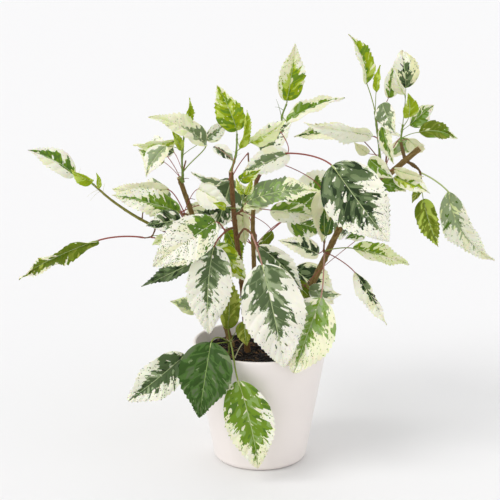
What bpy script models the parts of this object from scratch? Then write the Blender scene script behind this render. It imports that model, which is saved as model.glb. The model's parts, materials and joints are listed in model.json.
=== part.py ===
"""Potted variegated hibiscus: four woody stems in a white pot, a side bough, and masses of leaves.

Lengths are in metres unless a name says otherwise. The origin is the centre of the pot's flat
underside, +Z is up, and the plant is first seen looking along +Y.

Places in the crown are measured in centimetres on a view sheet, 50 cm square, that stands square to
the viewer's line of sight: across from its left edge, down from its top edge, and then how far the
point lies behind the pot's axis (less than zero is in front of it). on_sheet() turns such a place
into the model's frame.
"""
import math
import random
from collections import namedtuple

import bmesh
import bpy
import numpy as np
from mathutils import Quaternion, Vector
from mathutils.bvhtree import BVHTree

# Driving sizes of the pot and its soil
POT_HEIGHT = 0.125
RIM_RADIUS = 0.0695
FOOT_RADIUS = 0.0475
FOOT_ROUNDING = 0.006
WALL = 0.0035
FLOOR_THICKNESS = 0.005
SOIL_BELOW_RIM = 0.013
TOUCH_GAP = 0.0003
POT_SEGMENTS = 36
LIP_ROUNDING = 0.29

# The viewer and the view sheet
VIEW_PITCH = math.radians(15)
VIEW_DISTANCE = 1.5
VIEW_TARGET = Vector((-0.0105, 0.0, 0.2215))
SHEET_DISTANCE = 1.48
SHEET_MIDDLE_CM = 25.0

# Woody growth
FOOT_FLARE = 1.22
UPRIGHT_FOOT = 0.002
LIMB_SAMPLES = 14
LIMB_BEVEL_RESOLUTION = 2
TWIG_SAMPLES = 5
TWIG_BEVEL_RESOLUTION = 1
RING_SIDES = 12
START_STEP = 0.00005
SHORTEST_START = 0.0005
CURVE_WELD = 0.00001

# Leaves
LEAF_THICKNESS_SHARE = 0.011
LEAF_THINNEST = 0.0008
PETIOLE_SAMPLES = 5
PETIOLE_RADIUS = 0.0007
PETIOLE_SINK = 0.004
PETIOLE_RISE = 0.16
PETIOLE_FIRST = 0.35
PETIOLE_SECOND = 0.28
SMALL_LEAF_LENGTH = 0.034
SMALL_STATIONS = (0.3, 0.7)
STATIONS = (0.17, 0.45, 0.78)
BASE_POWER = 0.54
CLEARANCE = 0.00045
WELD = 0.000002
LEAF_DROP_BELOW_RIM = 0.02
SAMPLE_PLACES = ((0.1, 0), (0.5, 0), (0.98, 0), (0.4, 0.9), (0.4, -0.9))
HIDDEN_ENOUGH = 0.79
HIDING_MARGIN = 0.002
REAR_SEED = 31
REAR_LEAF_WIDTH = 0.6
REAR_ARCH = 0.07
GOLDEN_ANGLE = math.radians(137.5)
DEPTH_SHIFTS_CM = (0, 0.7, -0.7, 1.4, -1.4, 2.1, -2.1, 3.0, -3.0, 4.0)
PETIOLE_BOWS_CM = ((0, 0), (1.0, 0), (-1.0, 0), (0, 1.0), (0, -1.0), (1.8, 0.8), (-1.8, 0.8))

COLOURS = {
    "pot": ((0.87, 0.86, 0.85), 0.35),
    "soil": ((0.055, 0.036, 0.026), 0.95),
    "bark_tan": ((0.30, 0.21, 0.10), 0.75),
    "bark_brown": ((0.17, 0.085, 0.05), 0.75),
    "foliage": ((0.42, 0.52, 0.30), 0.5),
}

Leaf = namedtuple("Leaf", "root base tip width roll arch fold sweep broad")
Limb = namedtuple("Limb", "name foot points radii colour parent")
Mass = namedtuple("Mass", "name limb twig radii leaves")
RearMass = namedtuple("RearMass", "name limb twig radii leaf_count leaf_cm")


def leaf(root, base, tip, width, roll=0, arch=0.06, fold=14, sweep=0.0, broad=0.37):
    """One leaf: where it roots on its twig (0 to 1), blade base and tip, and its width as seen.

    roll turns the blade about its midrib, arch bows the midrib out of the blade and sweep within it,
    fold lifts the sides, and broad says how far along the blade is broadest.
    """
    return Leaf(root, base, tip, width, roll, arch, fold, sweep, broad)


# Stems and the bough: points from foot to tip, with the radius in millimetres at both ends
LIMBS = [
    Limb("stem_left", (-0.030, 0.020),
         [(22.4, 31.8, 2.2), (21.4, 28.3, 2.2), (20.4, 25.0, 2.2), (19.2, 21.4, 2.2), (17.9, 17.7, 2.0)],
         (3.2, 2.5), "bark_tan", None),
    Limb("stem_centre", (-0.013, 0.000),
         [(24.5, 32.0, -0.2), (24.1, 27.5, -0.6), (23.7, 24.2, -0.9), (23.35, 21.0, -1.1),
          (23.1, 17.1, -1.2)],
         (3.0, 2.4), "bark_brown", None),
    Limb("stem_back", (-0.003, 0.034),
         [(25.6, 31.0, 3.8), (25.4, 26.5, 4.2), (25.3, 21.5, 4.6), (25.8, 16.8, 4.8)],
         (2.8, 2.1), "bark_brown", None),
    Limb("stem_right", (0.024, 0.010),
         [(29.5, 31.6, 1.0), (30.8, 29.2, 1.2), (32.3, 26.2, 1.4), (34.3, 22.3, 1.8), (36.7, 19.4, 2.4),
          (39.3, 17.1, 3.0), (42.0, 14.8, 3.4)],
         (3.5, 3.0), "bark_tan", None),
    Limb("bough_left", None,
         [(20.0, 23.6, 2.1), (17.2, 23.3, 1.2), (14.2, 22.0, 0.0), (11.4, 20.2, -1.2), (9.4, 18.5, -2.0)],
         (2.0, 1.1), "bark_brown", "stem_left"),
]

# Masses of leaves in front and at the sides: the twig starts at its limb, and each leaf roots on it
MASSES = [
    Mass("foliage_left_tip", "bough_left",
         [(9.4, 18.5, -2.0), (8.6, 17.9, -2.3), (7.7, 17.6, -2.5)],
         (1.0, 0.6), [
             leaf(0.95, (7.5, 17.5, -2.5), (2.8, 15.0, -4.0), 2.3, roll=25, sweep=0.04),
             leaf(0.40, (9.3, 18.2, -2.9), (7.1, 17.0, -3.8), 1.3, roll=-35, fold=35),
             leaf(0.20, (9.9, 18.9, -2.4), (9.7, 17.3, -2.7), 0.5, roll=30),
         ]),
    Mass("foliage_left_low", "bough_left",
         [(16.0, 22.9, 0.8), (15.2, 23.6, 0.4), (14.4, 23.8, 0.2)],
         (0.9, 0.6), [
             leaf(0.95, (9.9, 24.0, 0.6), (1.9, 27.9, 3.2), 1.6, roll=-38, fold=20, sweep=0.09),
             leaf(0.50, (16.8, 23.7, -0.2), (15.2, 24.5, -1.0), 1.1, roll=20),
             leaf(0.70, (20.2, 25.6, 0.2), (14.1, 28.6, -1.4), 1.7, roll=35, sweep=-0.07),
         ]),
    Mass("foliage_left_mid", "stem_left",
         [(19.2, 21.4, 2.2), (18.6, 21.4, 1.4), (18.2, 21.6, 0.6)],
         (1.1, 0.8), [
             leaf(0.80, (18.0, 21.2, -0.8), (11.2, 19.5, -2.8), 2.6, roll=20, broad=0.42),
             leaf(0.60, (16.9, 18.9, 1.0), (11.2, 18.9, 3.2), 2.2, roll=-35),
             leaf(0.95, (18.2, 22.0, -1.6), (14.6, 22.6, -3.4), 2.3, roll=20),
             leaf(0.90, (19.8, 18.8, 0.0), (23.0, 20.6, -2.4), 2.6, roll=20),
         ]),
    Mass("foliage_left_top", "stem_left",
         [(18.6, 19.4, 2.1), (18.2, 16.1, 1.0), (18.4, 13.6, 0.6)],
         (1.3, 0.8), [
             leaf(0.98, (18.3, 13.6, 0.6), (19.0, 9.8, 0.0), 0.9, roll=45, fold=25),
             leaf(0.30, (20.7, 14.4, -0.6), (15.0, 11.6, -3.4), 2.1, roll=32, sweep=0.04),
             leaf(0.65, (17.5, 14.1, 1.6), (13.3, 14.5, 3.6), 1.2, roll=-48, fold=20),
             leaf(0.70, (16.6, 14.6, 0.2), (14.6, 17.7, -1.2), 2.0, roll=25, sweep=0.05),
             leaf(0.75, (18.2, 15.0, -0.2), (17.2, 13.1, -1.1), 0.9, roll=25),
             leaf(0.60, (20.6, 14.0, 3.0), (22.6, 12.2, 4.6), 1.6, roll=20),
         ]),
    Mass("foliage_centre_top", "stem_centre",
         [(23.2, 17.6, -1.2), (23.6, 15.4, -1.7), (23.7, 13.3, -1.8)],
         (1.3, 0.8), [
             leaf(0.98, (23.7, 13.1, -1.8), (21.7, 8.5, -3.0), 2.8, roll=-20, sweep=0.05),
             leaf(0.85, (24.0, 14.9, -2.2), (24.7, 11.0, -3.0), 0.9, roll=48, fold=30),
             leaf(0.55, (25.0, 14.3, -2.4), (28.5, 12.1, -4.2), 1.6, roll=35),
             leaf(0.30, (21.4, 14.6, 0.2), (23.4, 16.2, -1.2), 1.3, roll=-35),
             leaf(0.45, (22.8, 18.2, -2.4), (19.1, 17.2, -4.4), 0.8, roll=-55),
         ]),
    Mass("foliage_back_top", "stem_back",
         [(25.8, 17.2, 4.8), (27.0, 14.2, 4.2), (28.1, 12.6, 3.8), (28.2, 11.6, 3.8), (28.7, 10.3, 3.8)],
         (1.4, 0.8), [
             leaf(0.98, (28.7, 10.1, 3.8), (29.5, 4.3, 3.0), 2.7, roll=15),
             leaf(0.75, (28.6, 12.2, 3.2), (34.5, 9.8, 5.4), 1.5, roll=-48, sweep=-0.03),
             leaf(0.45, (28.9, 15.3, 0.8), (24.1, 17.5, -0.8), 2.6, roll=20),
         ]),
    Mass("foliage_big_leaf", "stem_back",
         [(25.6, 18.6, 4.7), (26.6, 16.6, 3.0), (27.8, 15.3, 1.4)],
         (1.3, 1.0), [
             leaf(0.96, (33.2, 16.5, -3.4), (38.9, 24.2, -5.6), 6.1, roll=8, arch=0.05, fold=8, broad=0.4),
             leaf(0.70, (32.3, 19.0, 0.0), (32.2, 24.2, -1.6), 2.7, roll=-18),
         ]),
    Mass("foliage_centre", "stem_centre",
         [(23.5, 21.8, -1.0), (24.1, 21.1, -1.8), (24.6, 20.5, -2.4)],
         (1.2, 0.8), [
             leaf(0.90, (24.6, 20.2, -2.6), (32.2, 19.1, -4.0), 2.5, roll=-28, sweep=-0.05),
             leaf(0.60, (27.0, 21.0, -1.2), (31.6, 21.6, 0.4), 2.3, roll=20, sweep=-0.04),
             leaf(0.75, (23.9, 18.0, -3.0), (26.1, 16.9, -3.8), 1.2, roll=25),
             leaf(0.80, (24.4, 19.4, -3.0), (23.6, 17.9, -4.0), 0.8, roll=-20),
             leaf(0.85, (24.7, 19.5, -3.2), (25.2, 17.9, -4.2), 0.8, roll=20),
             leaf(0.65, (22.6, 20.8, -2.6), (21.4, 20.3, -3.6), 0.8, roll=15),
             leaf(0.55, (24.3, 20.9, -0.4), (24.5, 24.6, 0.4), 1.5, roll=20),
             leaf(0.50, (27.3, 23.2, -0.6), (25.7, 24.6, -1.2), 1.0, roll=-35),
             leaf(0.70, (24.3, 20.8, -3.2), (26.7, 20.6, -4.2), 0.9, roll=-35),
         ]),
    Mass("foliage_front_left", "stem_centre",
         [(23.5, 22.4, -1.0), (22.9, 22.9, -2.2), (22.4, 23.3, -3.2)],
         (1.3, 1.0), [
             leaf(0.85, (21.6, 22.1, -4.0), (15.3, 26.7, -6.0), 4.3, roll=10, fold=10, broad=0.42),
             leaf(0.95, (21.4, 24.5, -4.2), (20.9, 33.4, -5.6), 4.5, roll=-10, fold=10, sweep=0.05,
                  broad=0.42),
             leaf(0.70, (21.8, 24.4, -1.8), (24.8, 28.2, -3.4), 2.4, roll=18),
             leaf(0.60, (19.7, 31.0, -1.0), (17.1, 30.1, -2.4), 1.7, roll=15),
             leaf(0.55, (22.6, 22.9, -0.2), (24.2, 26.4, 0.2), 1.7, roll=-20),
         ]),
    Mass("foliage_front", "stem_centre",
         [(23.6, 23.6, -0.9), (24.4, 22.9, -2.2), (25.2, 23.4, -3.4)],
         (1.3, 1.0), [
             leaf(0.95, (26.2, 26.4, -5.0), (28.5, 36.8, -7.4), 6.2, roll=-8, arch=0.05, fold=9, broad=0.42),
             leaf(0.75, (25.8, 24.6, -1.6), (30.2, 29.1, -2.2), 2.7, roll=20, sweep=-0.08),
         ]),
    Mass("foliage_right_mid", "stem_right",
         [(32.4, 26.1, 1.4), (32.4, 25.1, 0.2), (32.45, 24.0, -0.8)],
         (1.3, 0.8), [
             leaf(0.40, (32.1, 29.8, -4.8), (29.4, 37.3, -6.8), 5.5, roll=8, arch=0.05, fold=10, broad=0.46),
             leaf(0.30, (35.5, 27.2, -0.6), (38.7, 32.5, -2.2), 1.7, roll=38, fold=25, sweep=-0.06),
             leaf(0.45, (35.3, 24.8, 0.4), (40.9, 26.5, 2.0), 1.9, roll=-30),
             leaf(0.55, (31.9, 25.4, -1.4), (27.9, 24.0, -3.4), 2.0, roll=22),
             leaf(0.95, (32.4, 23.7, -1.0), (31.7, 21.0, -1.8), 0.6, roll=30),
             leaf(0.98, (32.5, 23.6, -1.1), (32.5, 20.6, -2.2), 0.8, roll=-25),
             leaf(0.90, (32.7, 23.6, -1.2), (33.3, 20.9, -2.4), 0.7, roll=20),
         ]),
    Mass("foliage_right_low", "stem_right",
         [(31.2, 28.4, 1.3), (30.6, 28.4, 0.0), (30.5, 28.7, -0.8)],
         (1.3, 0.9), [
             leaf(0.80, (30.9, 29.0, -1.4), (34.1, 29.5, -2.8), 1.9, roll=25),
             leaf(0.90, (29.3, 28.1, -2.2), (31.4, 30.2, -3.2), 1.3, roll=-25),
             leaf(0.70, (36.4, 23.3, 0.6), (34.5, 23.9, -0.6), 1.6, roll=20),
         ]),
    Mass("foliage_low_shoot", "soil",
         [(22.9, 34.6, -0.8), (22.95, 34.3, -1.2), (23.1, 34.1, -2.0)],
         (0.9, 0.8), [
             leaf(0.80, (22.8, 32.9, -1.8), (22.9, 27.4, -1.4), 2.1, roll=20),
             leaf(0.90, (24.4, 32.1, -2.4), (24.7, 34.6, -3.4), 1.7, roll=20),
             leaf(0.85, (23.8, 38.1, -7.8), (25.8, 46.8, -7.8), 4.8, roll=5, arch=0.03, fold=10, sweep=-0.03,
                  broad=0.42),
             leaf(0.60, (21.1, 34.2, -6.6), (19.9, 41.8, -9.0), 5.3, roll=5, arch=0.05, fold=9, broad=0.38),
             leaf(0.70, (18.5, 35.5, -4.8), (12.8, 40.1, -6.8), 3.8, roll=-15, broad=0.45),
         ]),
    Mass("foliage_right_top", "stem_right",
         [(38.3, 18.0, 2.8), (38.0, 15.7, 2.2), (37.7, 13.0, 1.7), (37.5, 11.0, 1.5)], (1.4, 0.9), [
             leaf(0.98, (36.7, 8.4, 1.2), (34.8, 3.4, 0.4), 1.6, roll=42, fold=25, sweep=0.07),
             leaf(0.95, (37.6, 9.2, 1.0), (38.0, 6.5, 0.2), 0.7, roll=-48, sweep=0.06),
             leaf(0.85, (38.9, 9.8, 2.0), (39.2, 6.7, 3.2), 1.6, roll=25),
             leaf(0.75, (38.2, 10.3, 0.8), (39.5, 13.4, -0.8), 2.0, roll=20),
             leaf(0.55, (37.2, 13.6, 0.6), (30.4, 12.5, -1.8), 1.7, roll=-48, arch=0.1, sweep=0.12),
             leaf(0.30, (35.1, 13.2, 2.8), (29.4, 13.7, 4.6), 1.7, roll=35),
             leaf(0.35, (36.8, 15.4, 0.8), (35.4, 14.2, -0.2), 1.1, roll=-20),
             leaf(0.65, (38.3, 12.6, 0.2), (39.3, 16.4, -1.2), 1.4, roll=25),
         ]),
    Mass("foliage_right_crown", "stem_right",
         [(40.4, 16.1, 3.2), (40.1, 14.2, 3.9), (40.3, 12.4, 4.3)],
         (1.4, 0.8), [
             leaf(0.98, (40.6, 8.8, 4.4), (40.2, 5.0, 5.4), 2.7, roll=20, broad=0.45),
             leaf(0.95, (40.5, 9.5, 3.4), (39.4, 7.0, 2.4), 1.2, roll=-40, fold=30),
             leaf(0.85, (40.9, 11.8, 3.2), (40.9, 9.4, 2.0), 1.6, roll=30),
             leaf(0.80, (41.0, 12.5, 4.6), (43.4, 10.5, 6.2), 1.8, roll=25, sweep=-0.05),
             leaf(0.60, (41.9, 13.2, 4.2), (45.7, 13.9, 6.0), 1.8, roll=-32, sweep=-0.08),
             leaf(0.50, (40.8, 13.9, 5.4), (42.3, 15.3, 6.8), 1.5, roll=20),
         ]),
    Mass("foliage_right_end", "stem_right",
         [(41.2, 15.6, 3.3), (41.9, 17.0, 2.6), (42.1, 18.3, 2.2)],
         (1.2, 0.8), [
             leaf(0.95, (42.3, 19.9, 1.6), (43.8, 24.7, -0.2), 2.3, roll=22),
             leaf(0.98, (42.1, 18.8, 1.2), (41.2, 20.3, 0.4), 0.8, roll=25),
             leaf(0.60, (44.8, 19.1, 3.2), (49.5, 26.0, 4.6), 3.0, roll=22, sweep=0.11),
             leaf(0.70, (39.4, 17.7, 0.2), (43.0, 19.3, -1.4), 1.9, roll=-30),
         ]),
    Mass("foliage_right_inner", "stem_right",
         [(37.6, 18.6, 2.6), (37.5, 18.2, 1.2), (37.8, 18.0, 0.4)],
         (1.2, 0.8), [
             leaf(0.80, (36.9, 15.9, -0.4), (39.3, 17.8, -1.8), 1.9, roll=20),
             leaf(0.70, (38.0, 18.3, 0.4), (40.6, 19.1, -0.8), 1.5, roll=-28),
             leaf(0.60, (39.4, 16.9, 0.9), (42.4, 17.7, 0.2), 1.1, roll=35),
         ]),
]

# Masses behind: leaves set round the twig by a seeded rule, kept only where the front leaves hide them
REAR_MASSES = [
    RearMass("foliage_rear_left", "stem_left", [(20.0, 23.4, 2.2), (18.6, 22.2, 6.0), (17.6, 20.4, 9.0)],
             (1.4, 0.9), 20, (5.0, 7.6)),
    RearMass("foliage_rear_high_left", "stem_left", [(18.5, 19.4, 2.1), (18.2, 17.8, 4.4), (18.6, 16.0, 6.0)],
             (1.2, 0.8), 30, (3.0, 5.2)),
    RearMass("foliage_rear_top", "stem_back", [(25.4, 19.6, 4.7), (25.0, 17.6, 7.4), (24.8, 15.2, 9.0)],
             (1.3, 0.8), 16, (4.2, 6.2)),
    RearMass("foliage_rear_centre", "stem_back", [(25.4, 25.4, 4.3), (25.6, 24.6, 8.0), (25.6, 23.4, 11.0)],
             (1.4, 0.9), 22, (5.2, 8.2)),
    RearMass("foliage_rear_right", "stem_right", [(33.4, 24.0, 1.6), (34.2, 22.8, 5.6), (35.0, 21.2, 8.8)],
             (1.5, 0.9), 20, (5.0, 7.8)),
    RearMass("foliage_rear_high_right", "stem_right",
             [(38.6, 17.6, 2.9), (38.6, 16.4, 5.6), (38.8, 14.6, 7.6)],
             (1.2, 0.8), 14, (3.4, 5.6)),
    RearMass("foliage_rear_low", "stem_back", [(25.6, 29.4, 4.0), (25.4, 29.2, 7.8), (25.2, 28.8, 10.0)],
             (1.3, 0.9), 14, (5.0, 7.6)),
]


def on_sheet(place):
    """The model-frame point of a place on the view sheet, measured in centimetres, at its depth."""
    across, down, depth = place
    cosine = math.cos(VIEW_PITCH)
    sine = math.sin(VIEW_PITCH)
    forward = Vector((0, cosine, -sine))
    upward = Vector((0, sine, cosine))
    eye = VIEW_TARGET - forward * VIEW_DISTANCE
    right = (across - SHEET_MIDDLE_CM) / 100
    height = (SHEET_MIDDLE_CM - down) / 100
    ray = forward * SHEET_DISTANCE + Vector((1, 0, 0)) * right + upward * height
    return eye + ray * ((depth / 100 - eye.y) / ray.y)


def eye_point():
    """Where the viewer's eye is."""
    return VIEW_TARGET - Vector((0, math.cos(VIEW_PITCH), -math.sin(VIEW_PITCH))) * VIEW_DISTANCE


def smooth_path(points, count):
    """Smooth curve through the points, evenly sampled, as an array of count rows.

    It is a cubic from each point to the next, and its slope at a point is half the step from the point
    before to the point after.
    """
    knots = np.array([tuple(p) for p in points])
    knots = np.vstack([2 * knots[0] - knots[1], knots, 2 * knots[-1] - knots[-2]])
    steps = np.linspace(0, len(knots) - 3, count)
    first = np.minimum(steps.astype(int), len(knots) - 4)
    t = (steps - first)[:, None]
    a, b, c, d = (knots[first + k] for k in range(4))
    return 0.5 * (2 * b + (c - a) * t + (2 * a - 5 * b + 4 * c - d) * t**2 + (3 * b - a - 3 * c + d) * t**3)


def principled(name):
    """Plain material with the finish's colour and roughness."""
    colour, roughness = COLOURS[name]
    material = bpy.data.materials.new(name)
    material.use_nodes = True
    shader = material.node_tree.nodes["Principled BSDF"]
    shader.inputs["Base Color"].default_value = (*colour, 1)
    shader.inputs["Roughness"].default_value = roughness
    shader.inputs["Metallic"].default_value = 0
    material.diffuse_color = (*colour, 1)
    return material


def tube_mesh(path, radii, bevel_resolution):
    """Closed tube along the path, from a curve with a bevel and one radius for each point."""
    curve = bpy.data.curves.new("tube", "CURVE")
    curve.dimensions = "3D"
    curve.bevel_depth = 1.0
    curve.bevel_resolution = bevel_resolution
    curve.use_fill_caps = True
    spline = curve.splines.new("POLY")
    spline.points.add(len(path) - 1)
    spline.points.foreach_set("co", np.column_stack([path, np.ones(len(path))]).ravel())
    spline.points.foreach_set("radius", np.asarray(radii, dtype=float))
    holder = bpy.data.objects.new("tube", curve)
    bpy.context.scene.collection.objects.link(holder)
    bpy.context.view_layer.update()
    mesh = bpy.data.meshes.new_from_object(holder.evaluated_get(bpy.context.evaluated_depsgraph_get()))
    bpy.data.objects.remove(holder)
    bpy.data.curves.remove(curve)
    shape = bmesh.new()
    shape.from_mesh(mesh)
    bmesh.ops.remove_doubles(shape, verts=shape.verts, dist=CURVE_WELD)
    bmesh.ops.recalc_face_normals(shape, faces=shape.faces)
    shape.to_mesh(mesh)
    shape.free()
    return mesh


def blade_frame(base, tip, roll):
    """Midrib direction, side direction and face normal of a blade turned about its midrib."""
    along = (tip - base).normalized()
    towards_viewer = eye_point() - (base + tip) / 2
    normal = (towards_viewer - along * towards_viewer.dot(along)).normalized()
    normal.rotate(Quaternion(along, math.radians(roll)))
    return along, along.cross(normal), normal


def blade_point(row, base, tip, u, v):
    """Point of the blade at share u along the midrib and v across, from -1 at one edge to 1 at the other.

    The half width is u^a (1 - u)^b scaled to 1 at its broadest; the midrib bows by arch and sweep, the
    sides fold up by the fold angle.
    """
    along, side, normal = blade_frame(base, tip, row.roll)
    length = (tip - base).length
    other = BASE_POWER * (1 - row.broad) / row.broad
    top = row.broad**BASE_POWER * (1 - row.broad)**other
    half = row.width / 200 / math.cos(math.radians(row.roll)) * u**BASE_POWER * (1 - u)**other / top
    bow = (normal * row.arch + side * row.sweep) * (length * 4 * u * (1 - u))
    fold = math.radians(row.fold)
    spread = side * (v * half * math.cos(fold)) + normal * (abs(v) * half * math.sin(fold))
    return base + (tip - base) * u + bow + spread


def blade_mesh(row, base, tip, extra=0.0):
    """Thin closed solid of a leaf blade, thickened by extra on each side for a test of its clearance."""
    length = (tip - base).length
    stations = SMALL_STATIONS if length < SMALL_LEAF_LENGTH else STATIONS
    shape = bmesh.new()
    ends = [shape.verts.new(blade_point(row, base, tip, u, 0)) for u in (0, 1)]
    rows = [[shape.verts.new(blade_point(row, base, tip, u, v)) for v in (-1, 0, 1)] for u in stations]
    for near, far in zip(rows, rows[1:]):
        for k in range(2):
            shape.faces.new((near[k], near[k + 1], far[k + 1], far[k]))
    for k in range(2):
        shape.faces.new((ends[0], rows[0][k + 1], rows[0][k]))
        shape.faces.new((ends[1], rows[-1][k], rows[-1][k + 1]))
    shape.normal_update()
    thickness = max(LEAF_THINNEST, LEAF_THICKNESS_SHARE * length) + 2 * extra
    for corner in shape.verts:
        corner.co += corner.normal * (thickness / 2)
    bmesh.ops.solidify(shape, geom=shape.faces[:], thickness=thickness)
    bmesh.ops.triangulate(shape, faces=shape.faces)
    bmesh.ops.recalc_face_normals(shape, faces=shape.faces)
    mesh = bpy.data.meshes.new("blade")
    shape.to_mesh(mesh)
    shape.free()
    return mesh


def petiole_path(root, base, tip, bow):
    """Leaf stalk from its root to just inside the blade: a cubic curve that rises and meets the midrib.

    bow bends it nearer the viewer and upwards, in centimetres.
    """
    reach = (base - root).length
    along = (tip - base).normalized()
    end = base + along * PETIOLE_SINK
    push = Vector((0, -bow[0] / 100, bow[1] / 100))
    first = root + (base - root) * PETIOLE_FIRST + Vector((0, 0, PETIOLE_RISE * reach)) + push
    second = base - along * (PETIOLE_SECOND * reach) + push
    t = np.linspace(0, 1, PETIOLE_SAMPLES)[:, None]
    corners = [np.array(tuple(p)) for p in (root, first, second, end)]
    return ((1 - t)**3 * corners[0] + 3 * (1 - t)**2 * t * corners[1]
            + 3 * (1 - t) * t**2 * corners[2] + t**3 * corners[3])


def tree_of(mesh):
    """Search tree over a mesh's faces, for tests of touching and of distance."""
    corners = [v.co.copy() for v in mesh.vertices]
    return BVHTree.FromPolygons(corners, [tuple(p.vertices) for p in mesh.polygons])


def touches(mesh, trees):
    """Whether the mesh crosses any of the search trees."""
    own = tree_of(mesh)
    return any(own.overlap(tree) for tree in trees)


def limb_path(limb, soil_top, parent_tree):
    """Sampled axis of a stem from the soil, or of a bough from just clear of its parent."""
    points = [on_sheet(p) for p in limb.points]
    if limb.foot:
        points.insert(0, Vector((*limb.foot, soil_top + TOUCH_GAP)))
        return upright_start(smooth_path(points, LIMB_SAMPLES))
    return clear_start(smooth_path(points, LIMB_SAMPLES), limb.radii[0] / 1000, parent_tree)


def upright_start(path):
    """The path with a short upright stretch at its foot, so that its first ring lies level on the soil."""
    return np.vstack([path[:1], path[:1] + (0, 0, UPRIGHT_FOOT), path[1:]])


def clear_start(path, radius, tree):
    """Shorten a path at its start until the tube's first ring lies the touching gap clear of its carrier."""
    start = Vector(path[0])
    ahead = Vector(path[1])
    direction = (ahead - start).normalized()
    turn = direction.to_track_quat("Z", "Y")
    angles = np.linspace(0, math.tau, RING_SIDES, endpoint=False)
    ring = [turn @ Vector((radius * math.cos(a), radius * math.sin(a), 0)) for a in angles]
    moved = 0.0
    while moved < (ahead - start).length - SHORTEST_START:
        here = start + direction * moved
        nearest = min(tree.find_nearest(here + offset)[3] for offset in ring)
        inside = tree.find_nearest(here)
        outward = (here - inside[0]).dot(inside[1]) > 0
        if outward and nearest >= TOUCH_GAP:
            break
        moved += START_STEP
    path = path.copy()
    path[0] = start + direction * moved
    return path


def make_pot():
    """White pot: a cup turned from one profile, thin walled with a rounded lip and a flat foot."""
    slope = (RIM_RADIUS - FOOT_RADIUS) / POT_HEIGHT
    lip = WALL / 2
    cut = lip * LIP_ROUNDING
    outer = [(RIM_RADIUS - cut, POT_HEIGHT - cut), (RIM_RADIUS, POT_HEIGHT - lip)]
    middle = FOOT_RADIUS + slope * FOOT_ROUNDING - FOOT_ROUNDING
    for angle in (0, 30, 60, 90):
        across = FOOT_ROUNDING * math.cos(math.radians(angle))
        down = FOOT_ROUNDING * math.sin(math.radians(angle))
        outer.append((middle + across, FOOT_ROUNDING - down))
    outer.append((0, 0))
    floor_radius = FOOT_RADIUS + slope * FLOOR_THICKNESS - WALL
    inner = [(0, FLOOR_THICKNESS), (floor_radius, FLOOR_THICKNESS),
             (RIM_RADIUS - WALL, POT_HEIGHT - lip), (RIM_RADIUS - lip, POT_HEIGHT)]
    return turned("pot", outer + inner)


def make_soil():
    """Soil: fills the pot to a little below the rim, the touching gap clear of the wall and floor."""
    slope = (RIM_RADIUS - FOOT_RADIUS) / POT_HEIGHT
    top = POT_HEIGHT - SOIL_BELOW_RIM
    bottom = FLOOR_THICKNESS + TOUCH_GAP
    wall_gap = WALL + 1.5 * TOUCH_GAP
    low_radius = FOOT_RADIUS + slope * bottom - wall_gap
    top_radius = FOOT_RADIUS + slope * top - wall_gap
    return turned("soil", [(0, top), (top_radius, top), (low_radius, bottom), (0, bottom)])


def turned(name, profile):
    """Solid of revolution: the profile's outline, from the top axis or lip down, with a Screw modifier."""
    mesh = bpy.data.meshes.new(name)
    closed = profile[0][0] > 0
    edges = [(k, k + 1) for k in range(len(profile) - 1)]
    if closed:
        edges.append((len(profile) - 1, 0))
    mesh.from_pydata([(x, 0, z) for x, z in profile], edges, [])
    solid = bpy.data.objects.new(name, mesh)
    screw = solid.modifiers.new("turn", "SCREW")
    screw.steps = POT_SEGMENTS
    screw.render_steps = POT_SEGMENTS
    screw.use_merge_vertices = True
    screw.merge_threshold = 0.00001
    return solid


def joined(name, meshes, plant):
    """One solid from overlapping closed meshes, by a Boolean union on a collection of them."""
    group = bpy.data.collections.new(name + "_pieces")
    bpy.context.scene.collection.children.link(group)
    for mesh in meshes[1:]:
        piece = bpy.data.objects.new(name + "_piece", mesh)
        group.objects.link(piece)
    solid = bpy.data.objects.new(name, meshes[0])
    plant.objects.link(solid)
    union = solid.modifiers.new("join", "BOOLEAN")
    union.operation = "UNION"
    union.operand_type = "COLLECTION"
    union.collection = group
    for solver in ("EXACT", "MANIFOLD"):
        union.solver = solver
        bpy.context.view_layer.update()
        result = bpy.data.meshes.new_from_object(solid.evaluated_get(bpy.context.evaluated_depsgraph_get()))
        keep_largest_shell(result)
        if is_closed(result):
            break
    solid.modifiers.clear()
    solid.data = result
    for piece in list(group.objects):
        bpy.data.objects.remove(piece)
    bpy.data.collections.remove(group)
    return solid


def is_closed(mesh):
    """Whether every edge of the mesh joins exactly two faces."""
    shape = bmesh.new()
    shape.from_mesh(mesh)
    closed = all(len(edge.link_faces) == 2 for edge in shape.edges)
    shape.free()
    return closed


def keep_largest_shell(mesh):
    """Drop loose scraps and sealed hollows: only the connected shell of most faces stays."""
    shape = bmesh.new()
    shape.from_mesh(mesh)
    bmesh.ops.remove_doubles(shape, verts=shape.verts, dist=WELD)
    unseen = set(shape.faces)
    shells = []
    while unseen:
        stack = [unseen.pop()]
        shell = set(stack)
        while stack:
            face = stack.pop()
            near = {other for edge in face.edges for other in edge.link_faces} & unseen
            unseen -= near
            shell |= near
            stack += near
        shells.append(shell)
    shells.sort(key=len, reverse=True)
    scraps = [face for shell in shells[1:] for face in shell]
    bmesh.ops.delete(shape, geom=scraps, context="FACES")
    shape.to_mesh(mesh)
    shape.free()


def nearest_on(path, point):
    """The sample of a limb's path nearest to a point."""
    return Vector(path[np.argmin(np.linalg.norm(path - np.array(tuple(point)), axis=1))])


def along_path(path, share):
    """Point at a share of the way along a sampled path."""
    place = share * (len(path) - 1)
    before = min(int(place), len(path) - 2)
    return Vector(path[before]).lerp(Vector(path[before + 1]), place - before)


def taper(radii, count, flare=False):
    """Radius in metres along a limb, evenly from its first value to its last, wider at a stem's foot."""
    values = np.linspace(radii[0], radii[1], count) / 1000
    if flare:
        values[0] *= FOOT_FLARE
    return values


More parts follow.
